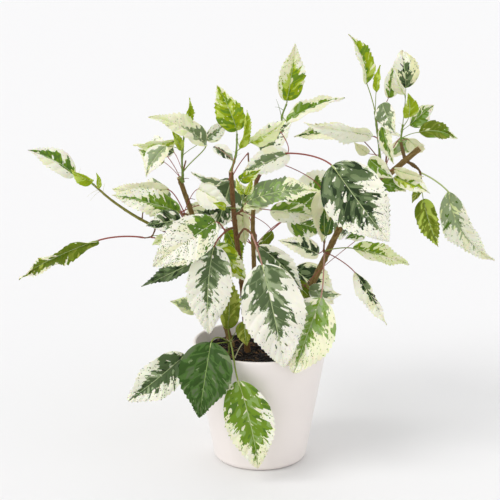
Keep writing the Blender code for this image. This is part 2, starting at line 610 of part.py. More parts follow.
def settle_leaf(row, twig, obstacles, own_blades):
    """Blade and stalk of a leaf at the first depth where both clear their neighbours, or None."""
    root = along_path(twig, row.root)
    for choose in (obstacles + own_blades, obstacles):
        for shift in DEPTH_SHIFTS_CM:
            base, tip = (on_sheet((p[0], p[1], p[2] + shift)) for p in (row.base, row.tip))
            if touches(blade_mesh(row, base, tip, CLEARANCE), choose):
                continue
            for bow in PETIOLE_BOWS_CM:
                path = petiole_path(root, base, tip, bow)
                if not touches(tube_mesh(path, [PETIOLE_RADIUS + CLEARANCE] * len(path), 0), choose):
                    return base, tip, path
    return None


def hidden_share(row, base, tip, trees):
    """Share of a blade's sample points that other growth hides from the viewer."""
    eye = eye_point()
    hidden = 0
    samples = [blade_point(row, base, tip, u, v) for u, v in SAMPLE_PLACES]
    for point in samples:
        reach = (point - eye).length
        direction = (point - eye).normalized()
        hidden += any(tree.ray_cast(eye, direction, reach - HIDING_MARGIN)[0] for tree in trees)
    return hidden / len(samples)


def rear_leaf_rows(mass, twig, rng):
    """Seeded leaves round a rear twig: turned by the golden angle, stalk outward, blade drooping."""
    for k in range(mass.leaf_count):
        share = 0.3 + 0.7 * (k + 0.5) / mass.leaf_count
        root = along_path(twig, share)
        turn = k * GOLDEN_ANGLE + rng.uniform(-0.3, 0.3)
        rise = rng.uniform(-0.15, 0.55)
        outward = Vector((math.cos(turn), 0.55 * math.sin(turn) + 0.5, rise)).normalized()
        length = rng.uniform(*mass.leaf_cm) / 100
        base = root + outward * (length * rng.uniform(0.45, 0.85)) + Vector((0, 0, 0.01))
        fall = Vector((0, 0, rng.uniform(-1.1, 0.1)))
        tip = base + (outward + fall).normalized() * length
        width = REAR_LEAF_WIDTH * length * 100
        yield root, base, tip, leaf(share, None, None, width, rng.uniform(-35, 35), REAR_ARCH)


def mass_twig(mass, carrier_path, carrier_tree):
    """Sampled axis of a mass's twig, from just clear of its limb, or from just above the soil."""
    points = [on_sheet(p) for p in mass.twig]
    if carrier_path is not None:
        points[0] = nearest_on(carrier_path, points[0])
    twig = smooth_path(points, TWIG_SAMPLES)
    if mass.limb == "soil":
        twig[0][2] = POT_HEIGHT - SOIL_BELOW_RIM + TOUCH_GAP
        return upright_start(twig)
    return clear_start(twig, mass.radii[0] / 1000, carrier_tree)


def grow_front(mass, twig, others):
    """Stalks and blades of a front mass: every scheduled leaf that finds room."""
    meshes = []
    own_blades = []
    for number, row in enumerate(mass.leaves):
        settled = settle_leaf(row, twig, others, own_blades)
        if settled is None:
            print(mass.name, "leaf", number, "skipped")
            continue
        base, tip, path = settled
        meshes += leaf_meshes(row, base, tip, path, own_blades)
    return meshes


def leaf_meshes(row, base, tip, path, own_blades):
    """Stalk and blade of one settled leaf, with the blade added to its mass's search trees."""
    blade = blade_mesh(row, base, tip)
    own_blades.append(tree_of(blade))
    return [tube_mesh(path, [PETIOLE_RADIUS] * len(path), 0), blade]


def grow_rear(mass, twig, others, rng):
    """Stalks and blades of a rear mass: the seeded leaves that find room behind the front ones."""
    meshes = []
    own_blades = []
    for root, base, tip, row in rear_leaf_rows(mass, twig, rng):
        low = min(base.z, tip.z) < POT_HEIGHT - LEAF_DROP_BELOW_RIM
        if low or hidden_share(row, base, tip, others) < HIDDEN_ENOUGH:
            continue
        path = petiole_path(root, base, tip, (0, 0))
        stalk = tube_mesh(path, [PETIOLE_RADIUS + CLEARANCE] * len(path), 0)
        if touches(blade_mesh(row, base, tip, CLEARANCE), others + own_blades) or touches(stalk, others):
            continue
        meshes += leaf_meshes(row, base, tip, path, own_blades)
    return meshes


def finish_mass(solid, materials, trees):
    """Give a joined mass its material and enter it among the things that later growth keeps clear of."""
    solid.data.materials.clear()
    solid.data.materials.append(materials["foliage"])
    trees[solid.name] = tree_of(solid.data)
    print(solid.name, len(solid.data.polygons), "faces", "closed" if is_closed(solid.data) else "open")


def main():
    for old in list(bpy.data.objects):
        bpy.data.objects.remove(old)
    plant = bpy.data.collections.new("potted_hibiscus")
    bpy.context.scene.collection.children.link(plant)
    materials = {name: principled(name) for name in COLOURS}

    pot = make_pot()
    soil = make_soil()
    for solid, colour in ((pot, "pot"), (soil, "soil")):
        plant.objects.link(solid)
        solid.data.materials.append(materials[colour])
    bpy.context.view_layer.update()
    trees = {}
    for solid in (pot, soil):
        trees[solid.name] = BVHTree.FromObject(solid, bpy.context.evaluated_depsgraph_get())

    paths = {}
    for limb in LIMBS:
        path = limb_path(limb, POT_HEIGHT - SOIL_BELOW_RIM, trees.get(limb.parent))
        mesh = tube_mesh(path, taper(limb.radii, len(path), limb.foot is not None), LIMB_BEVEL_RESOLUTION)
        solid = bpy.data.objects.new(limb.name, mesh)
        plant.objects.link(solid)
        mesh.materials.append(materials[limb.colour])
        paths[limb.name] = path
        trees[limb.name] = tree_of(mesh)

    twigs = {}
    stems = {}
    for mass in MASSES + REAR_MASSES:
        twig = mass_twig(mass, paths.get(mass.limb), trees[mass.limb])
        stem = tube_mesh(twig, taper(mass.radii, len(twig)), TWIG_BEVEL_RESOLUTION)
        twigs[mass.name] = twig
        stems[mass.name] = stem
        if touches(stem, trees.values()):
            print(mass.name, "twig touches a neighbour")
        trees[mass.name] = tree_of(stem)

    rng = random.Random(REAR_SEED)
    for mass in MASSES + REAR_MASSES:
        others = [tree for name, tree in trees.items() if name != mass.name]
        if mass in MASSES:
            meshes = grow_front(mass, twigs[mass.name], others)
        else:
            meshes = grow_rear(mass, twigs[mass.name], others, rng)
        solid = joined(mass.name, [stems[mass.name]] + meshes, plant)
        finish_mass(solid, materials, trees)


main()
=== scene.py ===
# %% [markdown]
# # A potted variegated hibiscus
#
# This lesson dresses a shrub whose solids are already made. The real plant is a young hibiscus with
# woody, cut-back stems and leaves splashed white, cream, grey green and bright green, in a white pot.
# The solids give every place and size, so the lesson starts by loading them as a fixed frame, and each
# new piece says which solid it stands for. Lengths are in metres, +Z is up, and the plant is first
# seen looking along +Y.

# %% Load the frame
import json
import math
import random
from collections import namedtuple

import bmesh
import bpy
import numpy as np
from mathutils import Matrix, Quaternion, Vector
from mathutils.bvhtree import BVHTree

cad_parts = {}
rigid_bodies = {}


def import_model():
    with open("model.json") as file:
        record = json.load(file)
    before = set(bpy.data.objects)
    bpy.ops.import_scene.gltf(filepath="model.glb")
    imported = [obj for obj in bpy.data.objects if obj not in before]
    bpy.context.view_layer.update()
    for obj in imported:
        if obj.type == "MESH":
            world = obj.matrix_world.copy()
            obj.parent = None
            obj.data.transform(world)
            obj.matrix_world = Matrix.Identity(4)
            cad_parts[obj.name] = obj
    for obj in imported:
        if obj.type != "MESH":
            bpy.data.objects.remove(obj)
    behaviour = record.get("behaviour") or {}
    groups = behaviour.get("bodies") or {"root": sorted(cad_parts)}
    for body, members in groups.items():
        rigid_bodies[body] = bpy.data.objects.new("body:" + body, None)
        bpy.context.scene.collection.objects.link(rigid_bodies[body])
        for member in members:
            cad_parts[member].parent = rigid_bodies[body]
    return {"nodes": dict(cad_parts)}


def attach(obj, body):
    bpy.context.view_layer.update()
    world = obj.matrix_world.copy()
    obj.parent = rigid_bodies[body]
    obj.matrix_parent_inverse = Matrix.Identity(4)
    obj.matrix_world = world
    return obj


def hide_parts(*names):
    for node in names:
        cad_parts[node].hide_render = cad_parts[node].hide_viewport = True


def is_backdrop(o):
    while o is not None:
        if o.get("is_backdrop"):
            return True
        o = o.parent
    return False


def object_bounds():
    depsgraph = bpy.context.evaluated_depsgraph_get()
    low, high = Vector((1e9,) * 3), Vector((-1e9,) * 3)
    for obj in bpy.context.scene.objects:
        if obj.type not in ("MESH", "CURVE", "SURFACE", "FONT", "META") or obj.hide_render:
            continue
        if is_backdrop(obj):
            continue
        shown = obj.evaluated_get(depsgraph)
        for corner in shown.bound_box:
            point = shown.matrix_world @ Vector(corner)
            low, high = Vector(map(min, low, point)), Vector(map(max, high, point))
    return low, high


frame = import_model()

solids_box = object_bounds()
print("solids:", len(frame["nodes"]), "nodes, box", [[round(v, 3) for v in corner] for corner in solids_box])

# %% [markdown]
# ## The view sheet and the camera
#
# A picture of the plant gives places across and down, but not how far away they are. So each place in
# the crown is written as three centimetres: across and down on a sheet that stands square to the line
# of sight, and its depth behind the pot's axis. One function turns that into a point, and the camera
# is set at the same eye with the same angle. A long lens from 1.5 m keeps the pot's rim as flat an
# ellipse as it looks in life.

# %% The view sheet and the camera
VIEW_PITCH = math.radians(15)
VIEW_DISTANCE = 1.5
VIEW_TARGET = Vector((-0.0105, 0.0, 0.2215))
FORWARD = Vector((0, math.cos(VIEW_PITCH), -math.sin(VIEW_PITCH)))
UPWARD = Vector((0, math.sin(VIEW_PITCH), math.cos(VIEW_PITCH)))
EYE = VIEW_TARGET - FORWARD * VIEW_DISTANCE
SHEET_DISTANCE = 1.48
SHEET_MIDDLE_CM = 25.0
IMAGE_SIDE = 500
FOCAL_PIXELS = 1480
SENSOR = 36.0
FARTHEST_SEEN = 600


def on_sheet(place):
    """Point at a place (across, down, depth) in centimetres: the ray through the sheet, cut at that depth."""
    across, down, depth = place
    right = (across - SHEET_MIDDLE_CM) / 100
    height = (SHEET_MIDDLE_CM - down) / 100
    ray = FORWARD * SHEET_DISTANCE + Vector((1, 0, 0)) * right + UPWARD * height
    return EYE + ray * ((depth / 100 - EYE.y) / ray.y)


def in_scene(name, data):
    """New object of this data, linked to the scene."""
    thing = bpy.data.objects.new(name, data)
    bpy.context.scene.collection.objects.link(thing)
    return thing


camera = in_scene("camera", bpy.data.cameras.new("camera"))
camera.location = EYE
camera.rotation_euler = (math.pi / 2 - VIEW_PITCH, 0, 0)
camera.data.sensor_width = SENSOR
camera.data.lens = SENSOR * FOCAL_PIXELS / IMAGE_SIDE
camera.data.clip_end = FARTHEST_SEEN
bpy.context.scene.camera = camera
print("camera lens", round(camera.data.lens, 2), "mm, at", [round(v, 3) for v in camera.location])

# %% [markdown]
# ## Plain leaf colours
#
# Each leaf of this plant is a mosaic: patches of one colour, bounded by veins, on white or cream. A
# painted texture would need an image, and a pattern in the shader can't be steered leaf by leaf. So
# there is one plain material for each colour of the mosaic, and every small face of a leaf is dealt
# one of them. All share the same faint bump, the pores and fine netting of a living leaf, which reads
# Object coordinates.

# %% Nodes of a material
def linear(hex_colour):
    """Linear red, green, blue and alpha of a colour written as six hexadecimal digits."""
    shares = np.array([int(hex_colour[k:k + 2], 16) for k in (0, 2, 4)]) / 255
    return (*np.where(shares <= 0.04045, shares / 12.92, ((shares + 0.055) / 1.055) ** 2.4), 1)


def set_inputs(node, **values):
    """Set a node's inputs, named with underscores for blanks; another node's output is linked in."""
    for name, value in values.items():
        socket = node.inputs[name.replace("_", " ")]
        if isinstance(value, bpy.types.NodeSocket):
            node.id_data.links.new(value, socket)
        else:
            socket.default_value = value


def new_node(shader, kind, **values):
    """New node beside a shader, with its inputs set."""
    node = shader.id_data.nodes.new("ShaderNode" + kind)
    set_inputs(node, **values)
    return node


def principled(name, **values):
    """New material and its principled shader, with the shader's inputs set."""
    material = bpy.data.materials.new(name)
    material.use_nodes = True
    shader = material.node_tree.nodes["Principled BSDF"]
    set_inputs(shader, **values)
    return material, shader


def bump_from(shader, noise, strength, depth):
    """Bump the shader's surface by a noise."""
    bump = new_node(shader, "Bump", Strength=strength, Distance=depth, Height=noise.outputs["Fac"])
    set_inputs(shader, Normal=bump.outputs["Normal"])


def plant_material(name, hex_colour, roughness, bump_scale, bump_strength, bump_depth=0.0003, glow=0.0,
                   gloss=0.4):
    """Principled material of one base colour, with a noise bump read from Object coordinates.

    glow is the share of light that spreads inside a thin leaf.
    """
    material, shader = principled(name, Base_Color=linear(hex_colour), Roughness=roughness,
                                  Specular_IOR_Level=gloss)
    if glow:
        set_inputs(shader, Subsurface_Weight=glow, Subsurface_Radius=(0.5, 0.8, 0.25),
                   Subsurface_Scale=0.0015)
    place = new_node(shader, "TexCoord")
    noise = new_node(shader, "TexNoise", Vector=place.outputs["Object"], Scale=bump_scale, Detail=3)
    bump_from(shader, noise, bump_strength, bump_depth)
    return material


print("white is", [round(float(share), 3) for share in linear("edecdb")], "in linear light")

# %% Materials of leaves, stalks and shoots
LEAF_TONES = {
    "white": "edecdb", "cream": "e8e7c8", "beige": "e0ddb8", "pale_lime": "dfe5b2", "lime": "bcc95c",
    "yellow_green": "9aab20", "bright_green": "96a60b", "fresh_green": "708d24", "mid_green": "587526",
    "deep_green": "3f5c22", "dark_green": "35501b", "leaf_green": "4c6a2f", "grey_light": "9ba682",
    "grey_green": "75835c", "blue_green": "576743", "night_green": "28361c", "olive_light": "adb152",
    "olive": "808b2a", "moss_green": "66760e", "sage": "8aa25c", "vein": "b2c08c",
}
STALK_TONES = {"red": "8f4335", "pink": "ae8272", "green": "86983a", "brown": "6f4531", "rib": "b3c07c"}
TWIG_TONES = {"green_shoot": "74893a", "brown_shoot": "6e4a2c", "hair": "c9c9a0", "old_wood": "664d24"}


def materials_of(prefix, tones, **finish):
    """A material for each tone of a table, by the tone's name."""
    return {tone: plant_material(prefix + tone, code, **finish) for tone, code in tones.items()}


leaf_materials = materials_of("leaf_", LEAF_TONES, roughness=0.48, bump_scale=900, bump_strength=0.25,
                              glow=0.35, gloss=0.17)
stalk_materials = materials_of("stalk_", STALK_TONES, roughness=0.45, bump_scale=700, bump_strength=0.2)
twig_materials = materials_of("twig_", TWIG_TONES, roughness=0.6, bump_scale=500, bump_strength=0.4)
print(len(leaf_materials), "leaf colours,", len(stalk_materials), "stalk colours,",
      len(twig_materials), "twig colours")

# %% [markdown]
# ## Meshes from whole arrays
#
# Every new piece is a grid worked out with numpy. One helper puts such arrays into Blender as an
# object: corners, faces with equally many sides, and the name of a material for each face. Another
# carries a round profile along a path, which serves for stems, twigs, stalks and fibres.

# %% Faces of a grid, and a piece from its parts
SHARP_ANGLE = math.radians(62)


def grid_faces(rows, columns, ring=False):
    """Corner numbers of the four-sided faces of a grid of points, rows by columns, closed round if a ring."""
    numbers = np.arange(rows * columns).reshape(rows, columns)
    if ring:
        numbers = np.column_stack([numbers, numbers[:, 0]])
    corners = numbers[:-1, :-1], numbers[:-1, 1:], numbers[1:, 1:], numbers[1:, :-1]
    return np.stack(corners, -1).reshape(-1, 4)


def piece_from(name, parts, materials):
    """Object from parts: each has arrays of corners, of faces and of the faces' material names.

    The corner numbers of a part are moved up by the corners before it. Only the materials used are kept.
    """
    starts = np.cumsum([0] + [len(part[0]) for part in parts[:-1]])
    points = np.vstack([part[0] for part in parts])
    faces = np.vstack([part[1] + start for part, start in zip(parts, starts)])
    tones = np.concatenate([part[2] for part in parts])
    used = sorted(set(tones))
    mesh = bpy.data.meshes.new(name)
    mesh.vertices.add(len(points))
    mesh.vertices.foreach_set("co", points.astype(np.float32).ravel())
    mesh.loops.add(faces.size)
    mesh.loops.foreach_set("vertex_index", faces.astype(np.int32).ravel())
    mesh.polygons.add(len(faces))
    mesh.polygons.foreach_set("loop_start", np.arange(0, faces.size, faces.shape[1], dtype=np.int32))
    for tone in used:
        mesh.materials.append(materials[tone])
    order = {tone: number for number, tone in enumerate(used)}
    mesh.polygons.foreach_set("material_index", np.array([order[tone] for tone in tones], dtype=np.int32))
    mesh.polygons.foreach_set("use_smooth", np.ones(len(faces), dtype=bool))
    mesh.update(calc_edges=True)
    mesh.validate()
    mesh.set_sharp_from_angle(angle=SHARP_ANGLE)
    piece = in_scene(name, mesh)
    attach(piece, "root")
    print(name + ":", len(parts), "parts,", len(faces) * (faces.shape[1] - 2), "triangles")
    return piece


print("a 3 by 4 ring has", len(grid_faces(3, 4, ring=True)), "faces")

# %% Paths
def xyz(place):
    """A point or a direction as an array."""
    return np.array(tuple(place))


def smooth_path(points, count):
    """Smooth curve through the points, evenly sampled, as an array of count rows.

    It is a cubic from each point to the next, and its slope at a point is half the step from the point
    before to the point after.
    """
    knots = np.array([tuple(p) for p in points])
    knots = np.vstack([2 * knots[0] - knots[1], knots, 2 * knots[-1] - knots[-2]])
    steps = np.linspace(0, len(knots) - 3, count)
    first = np.minimum(steps.astype(int), len(knots) - 4)
    t = (steps - first)[:, None]
    a, b, c, d = (knots[first + k] for k in range(4))
    return 0.5 * (2 * b + (c - a) * t + (2 * a - 5 * b + 4 * c - d) * t**2 + (3 * b - a - 3 * c + d) * t**3)


def cubic_path(a, b, c, d, count):
    """Points of the curve (1 - t)³ a + 3 (1 - t)² t b + 3 (1 - t) t² c + t³ d, with t from 0 to 1."""
    t = np.linspace(0, 1, count)[:, None]
    return (1 - t)**3 * a + 3 * (1 - t)**2 * t * b + 3 * (1 - t) * t**2 * c + t**3 * d


def path_frames(path):
    """Two directions square to a sampled path at each of its points, carried along without a twist."""
    ahead = np.gradient(path, axis=0)
    ahead /= np.linalg.norm(ahead, axis=1)[:, None]
    start = np.cross(ahead[0], (0.0, 0.0, 1.0) if abs(ahead[0][2]) < 0.9 else (1.0, 0.0, 0.0))
    sides = [start / np.linalg.norm(start)]
    for direction in ahead[1:]:
        side = sides[-1] - direction * sides[-1].dot(direction)
        sides.append(side / np.linalg.norm(side))
    return np.array(sides), np.cross(ahead, sides)


print("half way from 0 to 1:", smooth_path([(0, 0, 0), (0, 0, 1)], 3)[1].tolist())

# %% Tubes
def tube_grid(path, radii, sides):
    """Points of a tube: a ring round each sample of a path, with one radius for it, or one for each point.

    The point at angle a of a ring is the path's point + radius * (side cos a + other side sin a).
    """
    side, other = path_frames(path)
    angles = np.linspace(0, 2 * np.pi, sides, endpoint=False)
    radii = np.broadcast_to(np.asarray(radii, dtype=float).reshape(len(path), -1), (len(path), sides))
    ring = side[:, None] * np.cos(angles)[None, :, None] + other[:, None] * np.sin(angles)[None, :, None]
    return path[:, None] + ring * radii[:, :, None]


def tube_faces(rows, sides):
    """Faces of a tube grid, and last the strips of faces that close its two ends; sides is even."""
    near = np.arange(sides // 2 - 1)
    cap = np.stack([near, near + 1, sides - 2 - near, sides - 1 - near], -1)
    return np.vstack([grid_faces(rows, sides, ring=True), cap[:, ::-1], cap + (rows - 1) * sides])


def tube_part(path, radii, sides, tone):
    """Corners, faces and tones of a closed tube of one tone."""
    quads = tube_faces(len(path), sides)
    return tube_grid(path, radii, sides).reshape(-1, 3), quads, np.full(len(quads), tone, dtype=object)


print("a tube of 5 rings with 8 sides has", len(tube_faces(5, 8)), "faces")

# %% [markdown]
# ## Stems, bough and leaves: the same rule as the solids
#
# The solids follow a schedule: stems as smooth curves through a few places, a twig for each mass of
# leaves, and for each leaf the place of its blade's base and tip. The lesson repeats that schedule, so
# that the fine leaves grow where the solids have theirs, and adds what a solid can't show: the colours
# of each leaf. `reach` says how far the green goes out from the midrib at the leaf's base, middle and
# tip, from 0 to 1, and `lean` pushes it to one side.

# %% Schedule: stems and bough
Leaf = namedtuple("Leaf", "root base tip width roll arch fold sweep broad look reach lean specks stalk")
Limb = namedtuple("Limb", "name foot radii parent points")
Mass = namedtuple("Mass", "name limb radii twig leaves")
RearMass = namedtuple("RearMass", "name limb radii leaf_count leaf_cm twig")
GREEN_ALL_OVER = (1.3, 1.3, 1.3)


def leaf(root, base, tip, width, look="grey", reach=(0.9, 0.5, 0.2), lean=0.0, specks=0.01, stalk="red",
         roll=0, arch=0.06, fold=14, sweep=0.0, broad=0.37):
    """One leaf: where it roots on its twig, blade base and tip, width as seen, its colours and its shape."""
    return Leaf(root, base, tip, width, roll, arch, fold, sweep, broad, look, reach, lean, specks, stalk)


def soft_leaf(*places, **shape):
    """A young leaf: one on a green stalk."""
    return leaf(*places, **shape, stalk="green")


LIMBS = [
    Limb("stem_left", (-0.030, 0.020), (3.2, 2.5), None,
         [(22.4, 31.8, 2.2), (21.4, 28.3, 2.2), (20.4, 25.0, 2.2), (19.2, 21.4, 2.2), (17.9, 17.7, 2.0)]),
    Limb("stem_centre", (-0.013, 0.000), (3.0, 2.4), None,
         [(24.5, 32.0, -0.2), (24.1, 27.5, -0.6), (23.7, 24.2, -0.9), (23.35, 21.0, -1.1),
          (23.1, 17.1, -1.2)]),
    Limb("stem_back", (-0.003, 0.034), (2.8, 2.1), None,
         [(25.6, 31.0, 3.8), (25.4, 26.5, 4.2), (25.3, 21.5, 4.6), (25.8, 16.8, 4.8)]),
    Limb("stem_right", (0.024, 0.010), (3.5, 3.0), None,
         [(29.5, 31.6, 1.0), (30.8, 29.2, 1.2), (32.3, 26.2, 1.4), (34.3, 22.3, 1.8), (36.7, 19.4, 2.4),
          (39.3, 17.1, 3.0), (42.0, 14.8, 3.4)]),
    Limb("bough_left", None, (2.0, 1.1), "stem_left",
         [(20.0, 23.6, 2.1), (17.2, 23.3, 1.2), (14.2, 22.0, 0.0), (11.4, 20.2, -1.2), (9.4, 18.5, -2.0)]),
]
print("limbs:", [limb.name for limb in LIMBS])

# %% Schedule: leaves of the left
MASSES = [
    Mass("foliage_left_tip", "bough_left", (1.0, 0.6),
         [(9.4, 18.5, -2.0), (8.6, 17.9, -2.3), (7.7, 17.6, -2.5)], [
        soft_leaf(0.95, (7.5, 17.5, -2.5), (2.8, 15.0, -4.0), 2.3, "green", (0.6, 0.45, 0.2), 0.6, roll=25,
                  sweep=0.04),
        soft_leaf(0.40, (9.3, 18.2, -2.9), (7.1, 17.0, -3.8), 1.3, "young", (1.1, 1.1, 0.9), roll=-35,
                  fold=35),
        soft_leaf(0.20, (9.9, 18.9, -2.4), (9.7, 17.3, -2.7), 0.5, "young", GREEN_ALL_OVER, roll=30),
    ]),
    Mass("foliage_left_low", "bough_left", (0.9, 0.6),
         [(16.0, 22.9, 0.8), (15.2, 23.6, 0.4), (14.4, 23.8, 0.2)], [
        leaf(0.95, (9.9, 24.0, 0.6), (1.9, 27.9, 3.2), 1.6, "moss", (1.05, 0.95, 0.5), roll=-38, fold=20,
             sweep=0.09),
        soft_leaf(0.50, (16.8, 23.7, -0.2), (15.2, 24.5, -1.0), 1.1, "lime", (0.7, 0.3, 0.1), roll=20),
        leaf(0.70, (20.2, 25.6, 0.2), (14.1, 28.6, -1.4), 1.7, "dusk", GREEN_ALL_OVER, roll=35, sweep=-0.07),
    ]),
    Mass("foliage_left_mid", "stem_left", (1.1, 0.8),
         [(19.2, 21.4, 2.2), (18.6, 21.4, 1.4), (18.2, 21.6, 0.6)], [
        leaf(0.80, (18.0, 21.2, -0.8), (11.2, 19.5, -2.8), 2.6, "leafgreen", (1.1, 0.35, 0.0), 0.35, 0.06,
             roll=20, broad=0.42),
        leaf(0.60, (16.9, 18.9, 1.0), (11.2, 18.9, 3.2), 2.2, "lime_cream", (0.1, 0.0, -0.2), roll=-35),
        leaf(0.95, (18.2, 22.0, -1.6), (14.6, 22.6, -3.4), 2.3, "night", (1.2, 0.85, 0.6), specks=0.05,
             roll=20),
        leaf(0.90, (19.8, 18.8, 0.0), (23.0, 20.6, -2.4), 2.6, "cream", (0.1, 0.0, 0.0), roll=20),
    ]),
    Mass("foliage_left_top", "stem_left", (1.3, 0.8),
         [(18.6, 19.4, 2.1), (18.2, 16.1, 1.0), (18.4, 13.6, 0.6)], [
        soft_leaf(0.98, (18.3, 13.6, 0.6), (19.0, 9.8, 0.0), 0.9, "young", GREEN_ALL_OVER, roll=45, fold=25),
        soft_leaf(0.30, (20.7, 14.4, -0.6), (15.0, 11.6, -3.4), 2.1, "lime_cream", (0.85, 0.02, -0.1),
                  roll=32, sweep=0.04),
        soft_leaf(0.65, (17.5, 14.1, 1.6), (13.3, 14.5, 3.6), 1.2, "lime", (0.6, 0.25, 0.1), roll=-48,
                  fold=20),
        soft_leaf(0.70, (16.6, 14.6, 0.2), (14.6, 17.7, -1.2), 2.0, "faded", (0.7, 0.5, 0.4), roll=25,
                  sweep=0.05),
        soft_leaf(0.75, (18.2, 15.0, -0.2), (17.2, 13.1, -1.1), 0.9, "young", GREEN_ALL_OVER, roll=25),
        soft_leaf(0.60, (20.6, 14.0, 3.0), (22.6, 12.2, 4.6), 1.6, "grey_soft", (0.5, 0.3, 0.1), specks=0.04,
                  roll=20),
    ]),
]
print("masses so far:", len(MASSES), "with", sum(len(mass.leaves) for mass in MASSES), "leaves")

# %% Schedule: leaves of the middle
MASSES += [
    Mass("foliage_centre_top", "stem_centre", (1.3, 0.8),
         [(23.2, 17.6, -1.2), (23.6, 15.4, -1.7), (23.7, 13.3, -1.8)], [
        soft_leaf(0.98, (23.7, 13.1, -1.8), (21.7, 8.5, -3.0), 2.8, "fresh", (1.2, 0.95, 0.75), specks=0.12,
                  roll=-20, sweep=0.05),
        soft_leaf(0.85, (24.0, 14.9, -2.2), (24.7, 11.0, -3.0), 0.9, "young", (1.2, 1.0, 0.8), roll=48,
                  fold=30),
        soft_leaf(0.55, (25.0, 14.3, -2.4), (28.5, 12.1, -4.2), 1.6, "lime", (0.5, 0.2, 0.0), roll=35),
        leaf(0.30, (21.4, 14.6, 0.2), (23.4, 16.2, -1.2), 1.3, "night", (0.6, 0.7, 0.5), 0.6, roll=-35,
             stalk="pink"),
        leaf(0.45, (22.8, 18.2, -2.4), (19.1, 17.2, -4.4), 0.8, "grey_soft", (0.9, 0.7, 0.4), roll=-55),
    ]),
    Mass("foliage_back_top", "stem_back", (1.4, 0.8),
         [(25.8, 17.2, 4.8), (27.0, 14.2, 4.2), (28.1, 12.6, 3.8), (28.2, 11.6, 3.8), (28.7, 10.3, 3.8)], [
        soft_leaf(0.98, (28.7, 10.1, 3.8), (29.5, 4.3, 3.0), 2.7, "fresh_cream", (1.1, 0.5, -0.5), 0.4, 0.07,
                  roll=15),
        soft_leaf(0.75, (28.6, 12.2, 3.2), (34.5, 9.8, 5.4), 1.5, "leafgreen", (0.8, 0.3, 0.15), -0.3,
                  roll=-48, sweep=-0.03),
        leaf(0.45, (28.9, 15.3, 0.8), (24.1, 17.5, -0.8), 2.6, "grey_soft", (0.25, 0.35, 0.5), 0.35, roll=20),
    ]),
    Mass("foliage_big_leaf", "stem_back", (1.3, 1.0),
         [(25.6, 18.6, 4.7), (26.6, 16.6, 3.0), (27.8, 15.3, 1.4)], [
        leaf(0.96, (33.2, 16.5, -3.4), (38.9, 24.2, -5.6), 6.1, "grey_contrast", (1.05, 0.46, -0.1), 0.12,
             0.05, roll=8, arch=0.05, fold=8, broad=0.4),
        leaf(0.70, (32.3, 19.0, 0.0), (32.2, 24.2, -1.6), 2.7, "beige", (0.1, 0.0, 0.0), roll=-18),
    ]),
    Mass("foliage_centre", "stem_centre", (1.2, 0.8),
         [(23.5, 21.8, -1.0), (24.1, 21.1, -1.8), (24.6, 20.5, -2.4)], [
        leaf(0.90, (24.6, 20.2, -2.6), (32.2, 19.1, -4.0), 2.5, "mottled", (1.25, 0.95, -0.4), specks=0.08,
             roll=-28, sweep=-0.05),
        leaf(0.60, (27.0, 21.0, -1.2), (31.6, 21.6, 0.4), 2.3, "leafgreen", (0.6, 0.45, -0.2), -0.9, roll=20,
             sweep=-0.04),
        soft_leaf(0.75, (23.9, 18.0, -3.0), (26.1, 16.9, -3.8), 1.2, "fresh", (1.1, 0.9, 0.7), roll=25),
        soft_leaf(0.80, (24.4, 19.4, -3.0), (23.6, 17.9, -4.0), 0.8, "young", (1.0, 0.8, 0.4), roll=-20),
        soft_leaf(0.85, (24.7, 19.5, -3.2), (25.2, 17.9, -4.2), 0.8, "young", (1.0, 0.8, 0.4), roll=20),
        soft_leaf(0.65, (22.6, 20.8, -2.6), (21.4, 20.3, -3.6), 0.8, "young", (1.2, 1.2, 1.2), roll=15),
        leaf(0.55, (24.3, 20.9, -0.4), (24.5, 24.6, 0.4), 1.5, "beige", (0.2, 0.0, 0.3), roll=20),
        leaf(0.50, (27.3, 23.2, -0.6), (25.7, 24.6, -1.2), 1.0, "moss", (1.2, 1.0, 0.8), roll=-35),
        leaf(0.70, (24.3, 20.8, -3.2), (26.7, 20.6, -4.2), 0.9, "lime", (0.6, 0.4, 0.2), roll=-35),
    ]),
    Mass("foliage_front_left", "stem_centre", (1.3, 1.0),
         [(23.5, 22.4, -1.0), (22.9, 22.9, -2.2), (22.4, 23.3, -3.2)], [
        leaf(0.85, (21.6, 22.1, -4.0), (15.3, 26.7, -6.0), 4.3, "patched", (0.95, -0.7, -0.7), 0.2, 0.11,
             roll=10, fold=10, broad=0.42),
        leaf(0.95, (21.4, 24.5, -4.2), (20.9, 33.4, -5.6), 4.5, "grey_pale", (0.85, 0.26, -0.25), 0.0, 0.02,
             roll=-10, fold=10, sweep=0.05, broad=0.42),
        soft_leaf(0.70, (21.8, 24.4, -1.8), (24.8, 28.2, -3.4), 2.4, "fresh", (1.1, 0.8, 0.3), roll=18),
        soft_leaf(0.60, (19.7, 31.0, -1.0), (17.1, 30.1, -2.4), 1.7, "soft_green", (0.9, 0.7, 0.4), roll=15),
        soft_leaf(0.55, (22.6, 22.9, -0.2), (24.2, 26.4, 0.2), 1.7, "fresh", (1.2, 1.0, 0.8), roll=-20),
    ]),
    Mass("foliage_front", "stem_centre", (1.3, 1.0),
         [(23.6, 23.6, -0.9), (24.4, 22.9, -2.2), (25.2, 23.4, -3.4)], [
        leaf(0.95, (26.2, 26.4, -5.0), (28.5, 36.8, -7.4), 6.2, "grey_pale", (0.85, 0.34, -0.35), 0.05, 0.014,
             roll=-8, arch=0.05, fold=9, broad=0.42, stalk="pink"),
        leaf(0.75, (25.8, 24.6, -1.6), (30.2, 29.1, -2.2), 2.7, "grey", (0.9, 0.6, 0.2), 0.3, roll=20,
             sweep=-0.08),
    ]),
]
print("masses so far:", len(MASSES), "with", sum(len(mass.leaves) for mass in MASSES), "leaves")

